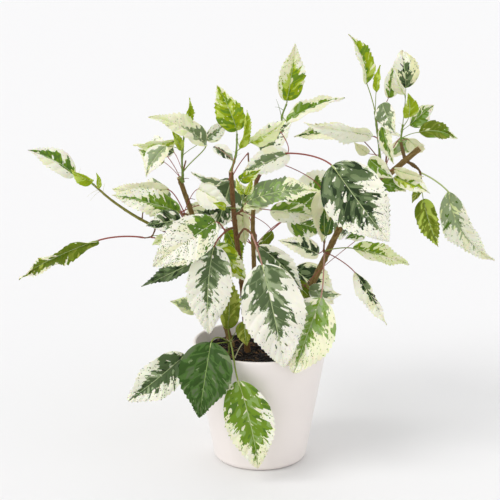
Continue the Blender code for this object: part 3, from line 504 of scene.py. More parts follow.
# %% Schedule: leaves of the right
MASSES += [
    Mass("foliage_right_mid", "stem_right", (1.3, 0.8),
         [(32.4, 26.1, 1.4), (32.4, 25.1, 0.2), (32.45, 24.0, -0.8)], [
        leaf(0.40, (32.1, 29.8, -4.8), (29.4, 37.3, -6.8), 5.5, "ribbed", (0.75, 0.24, 0.1), 0.05, 0.07,
             roll=8, arch=0.05, fold=10, broad=0.46, stalk="pink"),
        leaf(0.30, (35.5, 27.2, -0.6), (38.7, 32.5, -2.2), 1.7, "night_cream", (0.7, 0.55, -0.5), -0.7,
             roll=38, fold=25, sweep=-0.06),
        soft_leaf(0.45, (35.3, 24.8, 0.4), (40.9, 26.5, 2.0), 1.9, "fresh_pale", (0.9, 0.1, -0.5), -0.6, 0.04,
                  roll=-30),
        leaf(0.55, (31.9, 25.4, -1.4), (27.9, 24.0, -3.4), 2.0, "night_cream", (0.9, 0.3, 0.0), 0.45,
             roll=22),
        soft_leaf(0.95, (32.4, 23.7, -1.0), (31.7, 21.0, -1.8), 0.6, "shoot", GREEN_ALL_OVER, roll=30),
        soft_leaf(0.98, (32.5, 23.6, -1.1), (32.5, 20.6, -2.2), 0.8, "shoot", GREEN_ALL_OVER, roll=-25),
        soft_leaf(0.90, (32.7, 23.6, -1.2), (33.3, 20.9, -2.4), 0.7, "shoot", GREEN_ALL_OVER, roll=20),
    ]),
    Mass("foliage_right_low", "stem_right", (1.3, 0.9),
         [(31.2, 28.4, 1.3), (30.6, 28.4, 0.0), (30.5, 28.7, -0.8)], [
        leaf(0.80, (30.9, 29.0, -1.4), (34.1, 29.5, -2.8), 1.9, "grey_soft", (1.0, 0.6, 0.1), roll=25),
        leaf(0.90, (29.3, 28.1, -2.2), (31.4, 30.2, -3.2), 1.3, "moss", (1.2, 1.1, 0.9), roll=-25),
        leaf(0.70, (36.4, 23.3, 0.6), (34.5, 23.9, -0.6), 1.6, "patched", (0.8, 0.6, 0.3), roll=20),
    ]),
    Mass("foliage_low_shoot", "soil", (0.9, 0.8),
         [(22.9, 34.6, -0.8), (22.95, 34.3, -1.2), (23.1, 34.1, -2.0)], [
        soft_leaf(0.80, (22.8, 32.9, -1.8), (22.9, 27.4, -1.4), 2.1, "olive", (1.1, 0.8, 0.6), specks=0.1,
                  roll=20),
        soft_leaf(0.90, (24.4, 32.1, -2.4), (24.7, 34.6, -3.4), 1.7, "olive", (1.2, 1.0, 0.8), roll=20),
        soft_leaf(0.85, (23.8, 38.1, -7.8), (25.8, 46.8, -7.8), 4.8, "leafgreen", (1.0, 0.72, 0.0), 0.05,
                  0.05, roll=5, arch=0.03, fold=10, sweep=-0.03, broad=0.42),
        soft_leaf(0.60, (21.1, 34.2, -6.6), (19.9, 41.8, -9.0), 5.3, "dark", (1.3, 1.3, 1.1), roll=5,
                  arch=0.05, fold=9, broad=0.38),
        soft_leaf(0.70, (18.5, 35.5, -4.8), (12.8, 40.1, -6.8), 3.8, "night_pale", (0.85, 0.42, 0.2), 0.05,
                  0.05, roll=-15, broad=0.45),
    ]),
    Mass("foliage_right_top", "stem_right", (1.4, 0.9),
         [(38.3, 18.0, 2.8), (38.0, 15.7, 2.2), (37.7, 13.0, 1.7), (37.5, 11.0, 1.5)], [
        soft_leaf(0.98, (36.7, 8.4, 1.2), (34.8, 3.4, 0.4), 1.6, "fresh_cream", (0.9, 0.7, 0.3), 0.6, roll=42,
                  fold=25, sweep=0.07),
        soft_leaf(0.95, (37.6, 9.2, 1.0), (38.0, 6.5, 0.2), 0.7, "young", GREEN_ALL_OVER, roll=-48,
                  sweep=0.06),
        leaf(0.85, (38.9, 9.8, 2.0), (39.2, 6.7, 3.2), 1.6, "leafgreen", (0.9, 0.7, 0.4), 0.2, roll=25),
        leaf(0.75, (38.2, 10.3, 0.8), (39.5, 13.4, -0.8), 2.0, "grey_soft", (0.9, 0.7, 0.2), specks=0.06,
             roll=20),
        leaf(0.55, (37.2, 13.6, 0.6), (30.4, 12.5, -1.8), 1.7, "cream", (0.05, 0.0, 0.0), roll=-48, arch=0.1,
             sweep=0.12),
        leaf(0.30, (35.1, 13.2, 2.8), (29.4, 13.7, 4.6), 1.7, "deep_beige", (0.5, 0.35, 0.4), 0.2, roll=35,
             stalk="brown"),
        leaf(0.35, (36.8, 15.4, 0.8), (35.4, 14.2, -0.2), 1.1, "beige", (0.1, 0.0, 0.0), roll=-20),
        leaf(0.65, (38.3, 12.6, 0.2), (39.3, 16.4, -1.2), 1.4, "leafgreen", (0.7, 0.4, 0.5), 0.2, roll=25),
    ]),
    Mass("foliage_right_crown", "stem_right", (1.4, 0.8),
         [(40.4, 16.1, 3.2), (40.1, 14.2, 3.9), (40.3, 12.4, 4.3)], [
        soft_leaf(0.98, (40.6, 8.8, 4.4), (40.2, 5.0, 5.4), 2.7, "blue_cream", (0.8, 0.28, -0.3), 0.45, 0.03,
                  roll=20, broad=0.45),
        soft_leaf(0.95, (40.5, 9.5, 3.4), (39.4, 7.0, 2.4), 1.2, "cream", (0.3, 0.1, 0.0), roll=-40, fold=30),
        soft_leaf(0.85, (40.9, 11.8, 3.2), (40.9, 9.4, 2.0), 1.6, "young", (1.1, 1.0, 0.9), specks=0.1,
                  roll=30),
        soft_leaf(0.80, (41.0, 12.5, 4.6), (43.4, 10.5, 6.2), 1.8, "leafgreen", (0.9, 0.5, 0.4), 0.2, 0.05,
                  roll=25, sweep=-0.05),
        soft_leaf(0.60, (41.9, 13.2, 4.2), (45.7, 13.9, 6.0), 1.8, "glossy", (1.3, 1.2, 0.3), roll=-32,
                  sweep=-0.08),
        leaf(0.50, (40.8, 13.9, 5.4), (42.3, 15.3, 6.8), 1.5, "beige", (0.1, 0.0, 0.0), roll=20),
    ]),
    Mass("foliage_right_end", "stem_right", (1.2, 0.8),
         [(41.2, 15.6, 3.3), (41.9, 17.0, 2.6), (42.1, 18.3, 2.2)], [
        soft_leaf(0.95, (42.3, 19.9, 1.6), (43.8, 24.7, -0.2), 2.3, "mottled_lime", (1.1, 1.0, 0.9),
                  specks=0.15, roll=22),
        soft_leaf(0.98, (42.1, 18.8, 1.2), (41.2, 20.3, 0.4), 0.8, "olive", (1.2, 1.2, 1.0), roll=25),
        leaf(0.60, (44.8, 19.1, 3.2), (49.5, 26.0, 4.6), 3.0, "faded", (1.1, 0.1, -0.2), 0.1, 0.05, roll=22,
             sweep=0.11, stalk="rib"),
        leaf(0.70, (39.4, 17.7, 0.2), (43.0, 19.3, -1.4), 1.9, "fresh_cream", (0.8, 0.5, 0.2), roll=-30),
    ]),
    Mass("foliage_right_inner", "stem_right", (1.2, 0.8),
         [(37.6, 18.6, 2.6), (37.5, 18.2, 1.2), (37.8, 18.0, 0.4)], [
        leaf(0.80, (36.9, 15.9, -0.4), (39.3, 17.8, -1.8), 1.9, "leafgreen", (0.8, 0.5, 0.3), 0.3, roll=20),
        leaf(0.70, (38.0, 18.3, 0.4), (40.6, 19.1, -0.8), 1.5, "leafgreen", (1.2, 1.0, 0.2), roll=-28),
        leaf(0.60, (39.4, 16.9, 0.9), (42.4, 17.7, 0.2), 1.1, "beige", (0.2, 0.1, 0.0), roll=35),
    ]),
]
print("masses so far:", len(MASSES), "with", sum(len(mass.leaves) for mass in MASSES), "leaves")

# %% Schedule: masses behind
REAR_MASSES = [
    RearMass("foliage_rear_left", "stem_left", (1.4, 0.9), 20, (5.0, 7.6),
             [(20.0, 23.4, 2.2), (18.6, 22.2, 6.0), (17.6, 20.4, 9.0)]),
    RearMass("foliage_rear_high_left", "stem_left", (1.2, 0.8), 30, (3.0, 5.2),
             [(18.5, 19.4, 2.1), (18.2, 17.8, 4.4), (18.6, 16.0, 6.0)]),
    RearMass("foliage_rear_top", "stem_back", (1.3, 0.8), 16, (4.2, 6.2),
             [(25.4, 19.6, 4.7), (25.0, 17.6, 7.4), (24.8, 15.2, 9.0)]),
    RearMass("foliage_rear_centre", "stem_back", (1.4, 0.9), 22, (5.2, 8.2),
             [(25.4, 25.4, 4.3), (25.6, 24.6, 8.0), (25.6, 23.4, 11.0)]),
    RearMass("foliage_rear_right", "stem_right", (1.5, 0.9), 20, (5.0, 7.8),
             [(33.4, 24.0, 1.6), (34.2, 22.8, 5.6), (35.0, 21.2, 8.8)]),
    RearMass("foliage_rear_high_right", "stem_right", (1.2, 0.8), 14, (3.4, 5.6),
             [(38.6, 17.6, 2.9), (38.6, 16.4, 5.6), (38.8, 14.6, 7.6)]),
    RearMass("foliage_rear_low", "stem_back", (1.3, 0.9), 14, (5.0, 7.6),
             [(25.6, 29.4, 4.0), (25.4, 29.2, 7.8), (25.2, 28.8, 10.0)]),
]
print(len(REAR_MASSES), "masses behind, of up to", sum(mass.leaf_count for mass in REAR_MASSES), "leaves")

# %% [markdown]
# ## Growing by the rule
#
# The rule tries each leaf where the schedule puts it. If its blade or stalk would touch a neighbour,
# it is moved a little nearer or further, and its stalk is bowed. The leaves behind are set round
# their twigs by the golden angle, as on a real shoot, and kept only where the front leaves hide them
# from the viewer, so that the sky between the leaves stays open. Coarse blades are enough for these
# tests, as they are in the solids, so both come out in the same places.

# %% Rule: sizes of the pot, and a tube as a coarse solid
POT_HEIGHT = 0.125
RIM_RADIUS = 0.0695
FOOT_RADIUS = 0.0475
WALL = 0.0035
FLOOR_THICKNESS = 0.005
SOIL_TOP = POT_HEIGHT - 0.013
CURVE_WELD = 0.00001


def tube_mesh(path, radii, bevel_resolution):
    """Closed tube along the path, from a curve with a bevel and one radius for each point."""
    curve = bpy.data.curves.new("tube", "CURVE")
    curve.dimensions = "3D"
    curve.bevel_depth = 1.0
    curve.bevel_resolution = bevel_resolution
    curve.use_fill_caps = True
    spline = curve.splines.new("POLY")
    spline.points.add(len(path) - 1)
    spline.points.foreach_set("co", np.column_stack([path, np.ones(len(path))]).ravel())
    spline.points.foreach_set("radius", np.asarray(radii, dtype=float))
    holder = in_scene("tube", curve)
    bpy.context.view_layer.update()
    mesh = bpy.data.meshes.new_from_object(holder.evaluated_get(bpy.context.evaluated_depsgraph_get()))
    bpy.data.objects.remove(holder)
    bpy.data.curves.remove(curve)
    shape = bmesh.new()
    shape.from_mesh(mesh)
    bmesh.ops.remove_doubles(shape, verts=shape.verts, dist=CURVE_WELD)
    bmesh.ops.recalc_face_normals(shape, faces=shape.faces)
    shape.to_mesh(mesh)
    shape.free()
    return mesh


def tree_of(mesh):
    """Search tree over a mesh's faces, for tests of touching and of distance."""
    corners = [v.co.copy() for v in mesh.vertices]
    return BVHTree.FromPolygons(corners, [tuple(p.vertices) for p in mesh.polygons])


def touches(mesh, trees):
    """Whether the mesh crosses any of the search trees."""
    own = tree_of(mesh)
    return any(own.overlap(tree) for tree in trees)


print("pot", POT_HEIGHT * 1000, "mm tall, soil up to", round(SOIL_TOP * 1000), "mm")

# %% Rule: outline and points of a blade
BASE_POWER = 0.54


def blade_frame(base, tip, roll):
    """Midrib direction, side direction and face normal of a blade turned about its midrib."""
    along = (tip - base).normalized()
    towards_viewer = EYE - (base + tip) / 2
    normal = (towards_viewer - along * towards_viewer.dot(along)).normalized()
    normal.rotate(Quaternion(along, math.radians(roll)))
    return along, along.cross(normal), normal


def outline(row, u):
    """Half the width at share u along the midrib: u^a (1 - u)^b, scaled to half the leaf's own width."""
    other = BASE_POWER * (1 - row.broad) / row.broad
    top = row.broad**BASE_POWER * (1 - row.broad)**other
    return row.width / 200 / math.cos(math.radians(row.roll)) * u**BASE_POWER * (1 - u)**other / top


def blade_point(row, base, tip, u, v):
    """Point of the blade at share u along the midrib and v across, from -1 at one edge to 1 at the other.

    The midrib bows by arch and sweep, and the sides fold up by the fold angle.
    """
    side, normal = blade_frame(base, tip, row.roll)[1:]
    length = (tip - base).length
    half = outline(row, u)
    bow = (normal * row.arch + side * row.sweep) * (length * 4 * u * (1 - u))
    fold = math.radians(row.fold)
    spread = side * (v * half * math.cos(fold)) + normal * (abs(v) * half * math.sin(fold))
    return base + (tip - base) * u + bow + spread


print("the first leaf is", round(2000 * outline(MASSES[0].leaves[0], 0.5), 1), "mm wide half way along")

# %% Rule: blades as coarse solids
SMALL_LEAF_LENGTH = 0.034
SMALL_STATIONS = (0.3, 0.7)
STATIONS = (0.17, 0.45, 0.78)
LEAF_THICKNESS_SHARE = 0.011
LEAF_THINNEST = 0.0008


def blade_mesh(row, base, tip, extra=0.0):
    """Thin closed solid of a leaf blade, thickened by extra on each side for a test of its clearance."""
    length = (tip - base).length
    stations = SMALL_STATIONS if length < SMALL_LEAF_LENGTH else STATIONS
    shape = bmesh.new()
    ends = [shape.verts.new(blade_point(row, base, tip, u, 0)) for u in (0, 1)]
    rows = [[shape.verts.new(blade_point(row, base, tip, u, v)) for v in (-1, 0, 1)] for u in stations]
    for near, far in zip(rows, rows[1:]):
        for k in range(2):
            shape.faces.new((near[k], near[k + 1], far[k + 1], far[k]))
    for k in range(2):
        shape.faces.new((ends[0], rows[0][k + 1], rows[0][k]))
        shape.faces.new((ends[1], rows[-1][k], rows[-1][k + 1]))
    shape.normal_update()
    thickness = max(LEAF_THINNEST, LEAF_THICKNESS_SHARE * length) + 2 * extra
    for corner in shape.verts:
        corner.co += corner.normal * (thickness / 2)
    bmesh.ops.solidify(shape, geom=shape.faces[:], thickness=thickness)
    bmesh.ops.triangulate(shape, faces=shape.faces)
    bmesh.ops.recalc_face_normals(shape, faces=shape.faces)
    mesh = bpy.data.meshes.new("blade")
    shape.to_mesh(mesh)
    shape.free()
    return mesh


print("coarse blade of 8 cm has", len(blade_mesh(MASSES[0].leaves[0], Vector((0, 0, 0.2)),
                                                 Vector((0.08, 0, 0.2))).polygons), "faces")

# %% Rule: leaf stalks
PETIOLE_SAMPLES = 5
PETIOLE_RADIUS = 0.0007
PETIOLE_SINK = 0.004
PETIOLE_RISE = 0.16
PETIOLE_FIRST = 0.35
PETIOLE_SECOND = 0.28


def petiole_path(root, base, tip, bow):
    """Leaf stalk from its root to just inside the blade: a cubic curve that rises and meets the midrib.

    bow bends it nearer the viewer and upwards, in centimetres.
    """
    reach = (base - root).length
    along = (tip - base).normalized()
    push = Vector((0, -bow[0] / 100, bow[1] / 100))
    first = root + (base - root) * PETIOLE_FIRST + Vector((0, 0, PETIOLE_RISE * reach)) + push
    second = base - along * (PETIOLE_SECOND * reach) + push
    end = base + along * PETIOLE_SINK
    return cubic_path(xyz(root), xyz(first), xyz(second), xyz(end), PETIOLE_SAMPLES)


def petiole_mesh(path, extra=0.0):
    """Coarse solid of a leaf stalk, thickened by extra."""
    return tube_mesh(path, [PETIOLE_RADIUS + extra] * len(path), 0)


print("a stalk is", 2 * PETIOLE_RADIUS * 1000, "mm thick")

# %% Rule: where stems and twigs start
TOUCH_GAP = 0.0003
UPRIGHT_FOOT = 0.002
RING_SIDES = 12
START_STEP = 0.00005
SHORTEST_START = 0.0005


def upright_start(path):
    """The path with a short upright stretch at its foot, so that its first ring lies level on the soil."""
    return np.vstack([path[:1], path[:1] + (0, 0, UPRIGHT_FOOT), path[1:]])


def clear_start(path, radius, tree):
    """Shorten a path at its start until the tube's first ring lies the touching gap clear of its carrier."""
    start = Vector(path[0])
    ahead = Vector(path[1])
    direction = (ahead - start).normalized()
    turn = direction.to_track_quat("Z", "Y")
    angles = np.linspace(0, math.tau, RING_SIDES, endpoint=False)
    ring = [turn @ Vector((radius * math.cos(a), radius * math.sin(a), 0)) for a in angles]
    moved = 0.0
    while moved < (ahead - start).length - SHORTEST_START:
        here = start + direction * moved
        nearest = min(tree.find_nearest(here + offset)[3] for offset in ring)
        surface, outward = tree.find_nearest(here)[:2]
        if (here - surface).dot(outward) > 0 and nearest >= TOUCH_GAP:
            break
        moved += START_STEP
    path = path.copy()
    path[0] = start + direction * moved
    return path


print("stems and twigs keep", TOUCH_GAP * 1000, "mm clear of what carries them")

# %% Rule: stems and twigs
LIMB_SAMPLES = 14
TWIG_SAMPLES = 5


def nearest_on(path, point):
    """The sample of a limb's path nearest to a point."""
    return Vector(path[np.argmin(np.linalg.norm(path - xyz(point), axis=1))])


def along_path(path, share):
    """Point at a share of the way along a sampled path."""
    place = share * (len(path) - 1)
    before = min(int(place), len(path) - 2)
    return Vector(path[before]).lerp(Vector(path[before + 1]), place - before)


def limb_path(limb, parent_tree):
    """Sampled axis of a stem from the soil, or of a bough from just clear of its parent."""
    points = [on_sheet(p) for p in limb.points]
    if limb.foot:
        points.insert(0, Vector((*limb.foot, SOIL_TOP + TOUCH_GAP)))
        return upright_start(smooth_path(points, LIMB_SAMPLES))
    return clear_start(smooth_path(points, LIMB_SAMPLES), limb.radii[0] / 1000, parent_tree)


def mass_twig(mass, carrier_path, carrier_tree):
    """Sampled axis of a mass's twig, from just clear of its limb, or from just above the soil."""
    points = [on_sheet(p) for p in mass.twig]
    if carrier_path is not None:
        points[0] = nearest_on(carrier_path, points[0])
    twig = smooth_path(points, TWIG_SAMPLES)
    if mass.limb == "soil":
        twig[0][2] = SOIL_TOP + TOUCH_GAP
        return upright_start(twig)
    return clear_start(twig, mass.radii[0] / 1000, carrier_tree)


print("a stem has", LIMB_SAMPLES, "samples and a twig", TWIG_SAMPLES)

# %% Rule: settling a scheduled leaf
CLEARANCE = 0.00045
DEPTH_SHIFTS_CM = (0, 0.7, -0.7, 1.4, -1.4, 2.1, -2.1, 3.0, -3.0, 4.0)
PETIOLE_BOWS_CM = ((0, 0), (1.0, 0), (-1.0, 0), (0, 1.0), (0, -1.0), (1.8, 0.8), (-1.8, 0.8))
Grown = namedtuple("Grown", "mass row root base tip path")


def settle_leaf(row, twig, obstacles, own_blades):
    """Blade and stalk of a leaf at the first depth where both clear their neighbours, or None."""
    root = along_path(twig, row.root)
    for choose in (obstacles + own_blades, obstacles):
        for shift in DEPTH_SHIFTS_CM:
            base, tip = (on_sheet((p[0], p[1], p[2] + shift)) for p in (row.base, row.tip))
            if touches(blade_mesh(row, base, tip, CLEARANCE), choose):
                continue
            for bow in PETIOLE_BOWS_CM:
                path = petiole_path(root, base, tip, bow)
                if not touches(petiole_mesh(path, CLEARANCE), choose):
                    return base, tip, path
    return None


def front_leaves(mass, twig, others):
    """The scheduled leaves of a mass that find room."""
    own_blades = []
    for row in mass.leaves:
        settled = settle_leaf(row, twig, others, own_blades)
        if settled is not None:
            own_blades.append(tree_of(blade_mesh(row, *settled[:2])))
            yield Grown(mass.name, row, along_path(twig, row.root), *settled)


print("a leaf keeps", CLEARANCE * 1000, "mm clear at one of", len(DEPTH_SHIFTS_CM), "depths")

# %% Rule: the leaves behind
SAMPLE_PLACES = ((0.1, 0), (0.5, 0), (0.98, 0), (0.4, 0.9), (0.4, -0.9))
HIDDEN_ENOUGH = 0.79
HIDING_MARGIN = 0.002
LOWEST_LEAF = POT_HEIGHT - 0.02
REAR_SEED = 31
REAR_LEAF_WIDTH = 0.6
REAR_ARCH = 0.07
REAR_ROLLS = (-35, 35)
FIRST_REAR_SHARE = 0.3
GOLDEN_ANGLE = math.radians(137.5)
TURN_PLAY = (-0.3, 0.3)
AWAY_SHARE, AWAY_PUSH = 0.55, 0.5
STALK_RISES = (-0.15, 0.55)
STALK_SHARES = (0.45, 0.85)
BLADE_LIFT = 0.01
BLADE_FALLS = (-1.1, 0.1)


def hidden_share(row, base, tip, trees):
    """Share of a blade's sample points that other growth hides from the viewer."""
    hidden = 0
    for u, v in SAMPLE_PLACES:
        sight = blade_point(row, base, tip, u, v) - EYE
        ray = EYE, sight.normalized(), sight.length - HIDING_MARGIN
        hidden += any(tree.ray_cast(*ray)[0] for tree in trees)
    return hidden / len(SAMPLE_PLACES)


def rear_leaves(mass, twig, others, rng):
    """The leaves of a rear mass that are hidden and find room.

    Each is turned round the twig by the golden angle, its stalk points outward and away from the viewer,
    and its blade droops.
    """
    own_blades = []
    for k in range(mass.leaf_count):
        share = FIRST_REAR_SHARE + (1 - FIRST_REAR_SHARE) * (k + 0.5) / mass.leaf_count
        root = along_path(twig, share)
        turn = k * GOLDEN_ANGLE + rng.uniform(*TURN_PLAY)
        away = AWAY_SHARE * math.sin(turn) + AWAY_PUSH
        outward = Vector((math.cos(turn), away, rng.uniform(*STALK_RISES))).normalized()
        length = rng.uniform(*mass.leaf_cm) / 100
        base = root + outward * (length * rng.uniform(*STALK_SHARES)) + Vector((0, 0, BLADE_LIFT))
        fall = Vector((0, 0, rng.uniform(*BLADE_FALLS)))
        tip = base + (outward + fall).normalized() * length
        width = REAR_LEAF_WIDTH * length * 100
        row = leaf(share, None, None, width, roll=rng.uniform(*REAR_ROLLS), arch=REAR_ARCH)
        if min(base.z, tip.z) < LOWEST_LEAF or hidden_share(row, base, tip, others) < HIDDEN_ENOUGH:
            continue
        path = petiole_path(root, base, tip, (0, 0))
        blade = blade_mesh(row, base, tip, CLEARANCE)
        if touches(blade, others + own_blades) or touches(petiole_mesh(path, CLEARANCE), others):
            continue
        own_blades.append(tree_of(blade_mesh(row, base, tip)))
        yield Grown(mass.name, row, root, base, tip, path)


print("leaves behind are hidden in", HIDDEN_ENOUGH, "of their points")

# %% Grow the plant
FOOT_FLARE = 1.22
LIMB_BEVEL_RESOLUTION = 2
TWIG_BEVEL_RESOLUTION = 1

trees = {name: [BVHTree.FromObject(frame["nodes"][name], bpy.context.evaluated_depsgraph_get())]
         for name in ("pot", "soil")}
limb_paths = {}
for limb in LIMBS:
    path = limb_path(limb, trees[limb.parent][0] if limb.parent else None)
    radii = np.linspace(*limb.radii, len(path)) / 1000
    if limb.foot:
        radii[0] *= FOOT_FLARE
    limb_paths[limb.name] = path
    trees[limb.name] = [tree_of(tube_mesh(path, radii, LIMB_BEVEL_RESOLUTION))]
twigs = {}
for mass in MASSES + REAR_MASSES:
    twig = mass_twig(mass, limb_paths.get(mass.limb), trees[mass.limb][0])
    radii = np.linspace(*mass.radii, len(twig)) / 1000
    twigs[mass.name] = twig
    trees[mass.name] = [tree_of(tube_mesh(twig, radii, TWIG_BEVEL_RESOLUTION))]
rng = random.Random(REAR_SEED)
grown = []
for mass in MASSES + REAR_MASSES:
    others = [tree for name, owned in trees.items() if name != mass.name for tree in owned]
    twig = twigs[mass.name]
    found = list(front_leaves(mass, twig, others) if mass in MASSES else rear_leaves(mass, twig, others, rng))
    for g in found:
        trees[mass.name] += [tree_of(blade_mesh(g.row, g.base, g.tip)), tree_of(petiole_mesh(g.path))]
    grown += found
print("grown:", len(grown), "leaves,", sum(1 for g in grown if g.row.base is None), "of them behind")

# %% [markdown]
# ## The blade of a leaf
#
# A hibiscus leaf is broad near its base, runs out to a point, and has coarse forward-pointing teeth
# on its outer two thirds. Its side veins lie in valleys, with the blade puffed up between them, and
# its margin waves. All of that is one function of two numbers, the share u along the midrib and the
# share v across, so a whole leaf is worked out at once on a grid. Modelling it by hand would never
# keep over a hundred leaves different.

# %% Noise
NOISE_PLACES = 64


def smoothstep(low, high, x):
    """0 below low, 1 above high, and 3t² - 2t³ between."""
    t = np.clip((x - low) / (high - low), 0, 1)
    return t * t * (3 - 2 * t)


def value_noise(x, y, seed):
    """Noise from 0 to 1: random values on whole-number places, blended by 3t² - 2t³ in between."""
    table = np.random.default_rng(seed).random((NOISE_PLACES, NOISE_PLACES))
    column = np.floor(x).astype(int)
    line = np.floor(y).astype(int)
    s = smoothstep(0, 1, x - column)
    t = smoothstep(0, 1, y - line)

    def blended(place):
        """Values on one line of whole-number places, blended across."""
        near, far = (table[(column + k) % NOISE_PLACES, place % NOISE_PLACES] for k in (0, 1))
        return near * (1 - s) + far * s

    return blended(line) * (1 - t) + blended(line + 1) * t


print("noise at one place:", round(float(value_noise(0.5, 0.5, 1)), 3))

# %% Veins of a blade
VEIN_SLOPE = 0.8
VEIN_SPACING = 0.0095
FEWEST_VEINS, MOST_VEINS = 4, 9


def half_width(row, p):
    """The outline, with its last third drawn in by up to three tenths, which gives the leaf its long tip."""
    return outline(row, p) * (1 - 0.3 * smoothstep(0.6, 0.95, p))


def share_along(row, length, p, v):
    """Share along the midrib of a place on the line that leaves the midrib at p, along the side veins.

    It is p + slope |v| h(p) / length, with h the half width; at the base the slope starts from nothing.
    """
    slope = VEIN_SLOPE * smoothstep(0.0, 0.22, p)
    return np.minimum(p + slope * np.abs(v) * half_width(row, p) / length, 0.9995)


def vein_place(length, p, v):
    """Running number of the side veins, whole on a vein; the two sides of the leaf take turns.

    A leaf has a vein every 9.5 mm, but not under four and not over nine.
    """
    veins = min(MOST_VEINS, max(FEWEST_VEINS, length / VEIN_SPACING))
    return p * veins + np.where(v < 0, 0.5, 0.0)


print("an 8 cm leaf has", round(float(vein_place(0.08, 1.0, 1.0)), 1), "veins a side")

# %% Teeth of a blade
TOOTH_PITCH = 0.0048
TOOTH_DEPTH = 0.26
FEWEST_TEETH = 11
TOOTHED_HALF_WIDTH = 0.004


def teeth(length, p, v, half, drawn):
    """How far the margin stands out: a slanting tooth every 4.8 mm, deeper or less deep as drawn for it."""
    pitch = min(TOOTH_PITCH, length / FEWEST_TEETH)
    tooth = p * length / pitch + np.where(v < 0, 0.4, 0.0)
    deep = 0.45 + 0.9 * drawn[(v < 0).astype(int), tooth.astype(int) % drawn.shape[1]]
    toothed = smoothstep(0.10, 0.3, p) * (1 - smoothstep(0.92, 1.0, p))
    toothed = toothed * np.minimum(1, half / TOOTHED_HALF_WIDTH)
    return np.sign(v) * np.abs(v)**8 * toothed * deep * pitch * TOOTH_DEPTH * (2 * (tooth % 1) - 0.8)


print("a tooth every", TOOTH_PITCH * 1000, "mm")

# %% Surface of a blade
PUFF_SHARE = 0.12
VALLEY_DEPTH = 0.0005
VALLEY_WIDTH = 0.0013
CRUMPLE_SHARE = 0.016
CRUMPLE_SIZES = (0.011, 0.009)
WAVE_SHARES = (0.016, 0.034)
WAVES_ALONG = (1.6, 2.8)
CURL_SHARES = (-0.045, 0.02)
MIDRIB_ROUNDING = 0.0012
PORE_HEIGHT = 0.0005
PORE_SIZE = 0.0034


def blade_surface(leaf_grown, p, v, seed):
    """Middle surface of a fine blade at the shares p (a column) and v (a line), as points.

    The point is base + (tip - base) u + bow + side * y + normal * z, with u from share_along. y is v
    times the half width, with teeth added at the margin. z is the fold, plus puffs between the veins, a
    crumple, a valley along the midrib, a wave that grows towards the margin, and a curl of the tip.
    """
    row, base, tip = leaf_grown.row, leaf_grown.base, leaf_grown.tip
    rng = np.random.default_rng(seed)
    side, normal = (xyz(direction) for direction in blade_frame(base, tip, row.roll)[1:])
    length = (tip - base).length
    t = np.abs(v)
    u = share_along(row, length, p, v)
    half = half_width(row, u)
    y = v * half + teeth(length, p, v, half, rng.random((2, 64)))
    spacing = max(length / MOST_VEINS, min(length / FEWEST_VEINS, VEIN_SPACING))
    puff = PUFF_SHARE * spacing * np.abs(np.sin(np.pi * vein_place(length, p, v)))**0.75
    puff = puff * smoothstep(0.03, 0.25, t) * (1 - 0.7 * smoothstep(0.75, 1.0, t)) * smoothstep(0.0, 0.1, u)
    height, waves = rng.uniform(*WAVE_SHARES) * length, rng.uniform(*WAVES_ALONG)
    wave = height * t**2.2 * np.sin(2 * np.pi * (waves * u + np.where(v < 0, rng.random(), rng.random())))
    curl = rng.uniform(*CURL_SHARES) * length * smoothstep(0.55, 1.0, u)**2
    valley = -VALLEY_DEPTH * np.exp(-(y / VALLEY_WIDTH)**2)
    fold = math.radians(row.fold)
    rise = math.sin(fold) * (np.sqrt(y**2 + MIDRIB_ROUNDING**2) - MIDRIB_ROUNDING)
    wide, narrow = CRUMPLE_SIZES
    crumple = CRUMPLE_SHARE * length * (value_noise(u * length / wide + 9, y / narrow + 30, seed) - 0.5)
    pores = value_noise(u * length / PORE_SIZE + 9, y / PORE_SIZE + 30, seed + 9) - 0.5
    z = rise + puff + wave + curl + valley + (crumple + PORE_HEIGHT * pores) * smoothstep(0.0, 0.4, t)
    bow = (normal * row.arch + side * row.sweep) * (length * 4 * u * (1 - u))[..., None]
    spread = side * (y * math.cos(fold))[..., None] + normal * z[..., None]
    return xyz(base) + xyz(tip - base) * u[..., None] + bow + spread


sample = blade_surface(grown[0], np.linspace(0.01, 0.99, 9)[:, None], np.linspace(-1, 1, 5)[None, :], 1)
print("a blade on a 9 by 5 grid spans", [round(float(v), 4) for v in np.ptp(sample.reshape(-1, 3), axis=0)])

# %% [markdown]
# ## The mosaic of a leaf
#
# The green of a variegated leaf spreads out from the midrib, and each side vein carries it further or
# less far, which gives lobes with the vein in their middle. On the pale part lie loose specks. So the
# rule compares a face's distance from the midrib with a reach that changes from vein to vein, and
# deals one of six tones: paper, second paper, wash, pale, middle and deep.

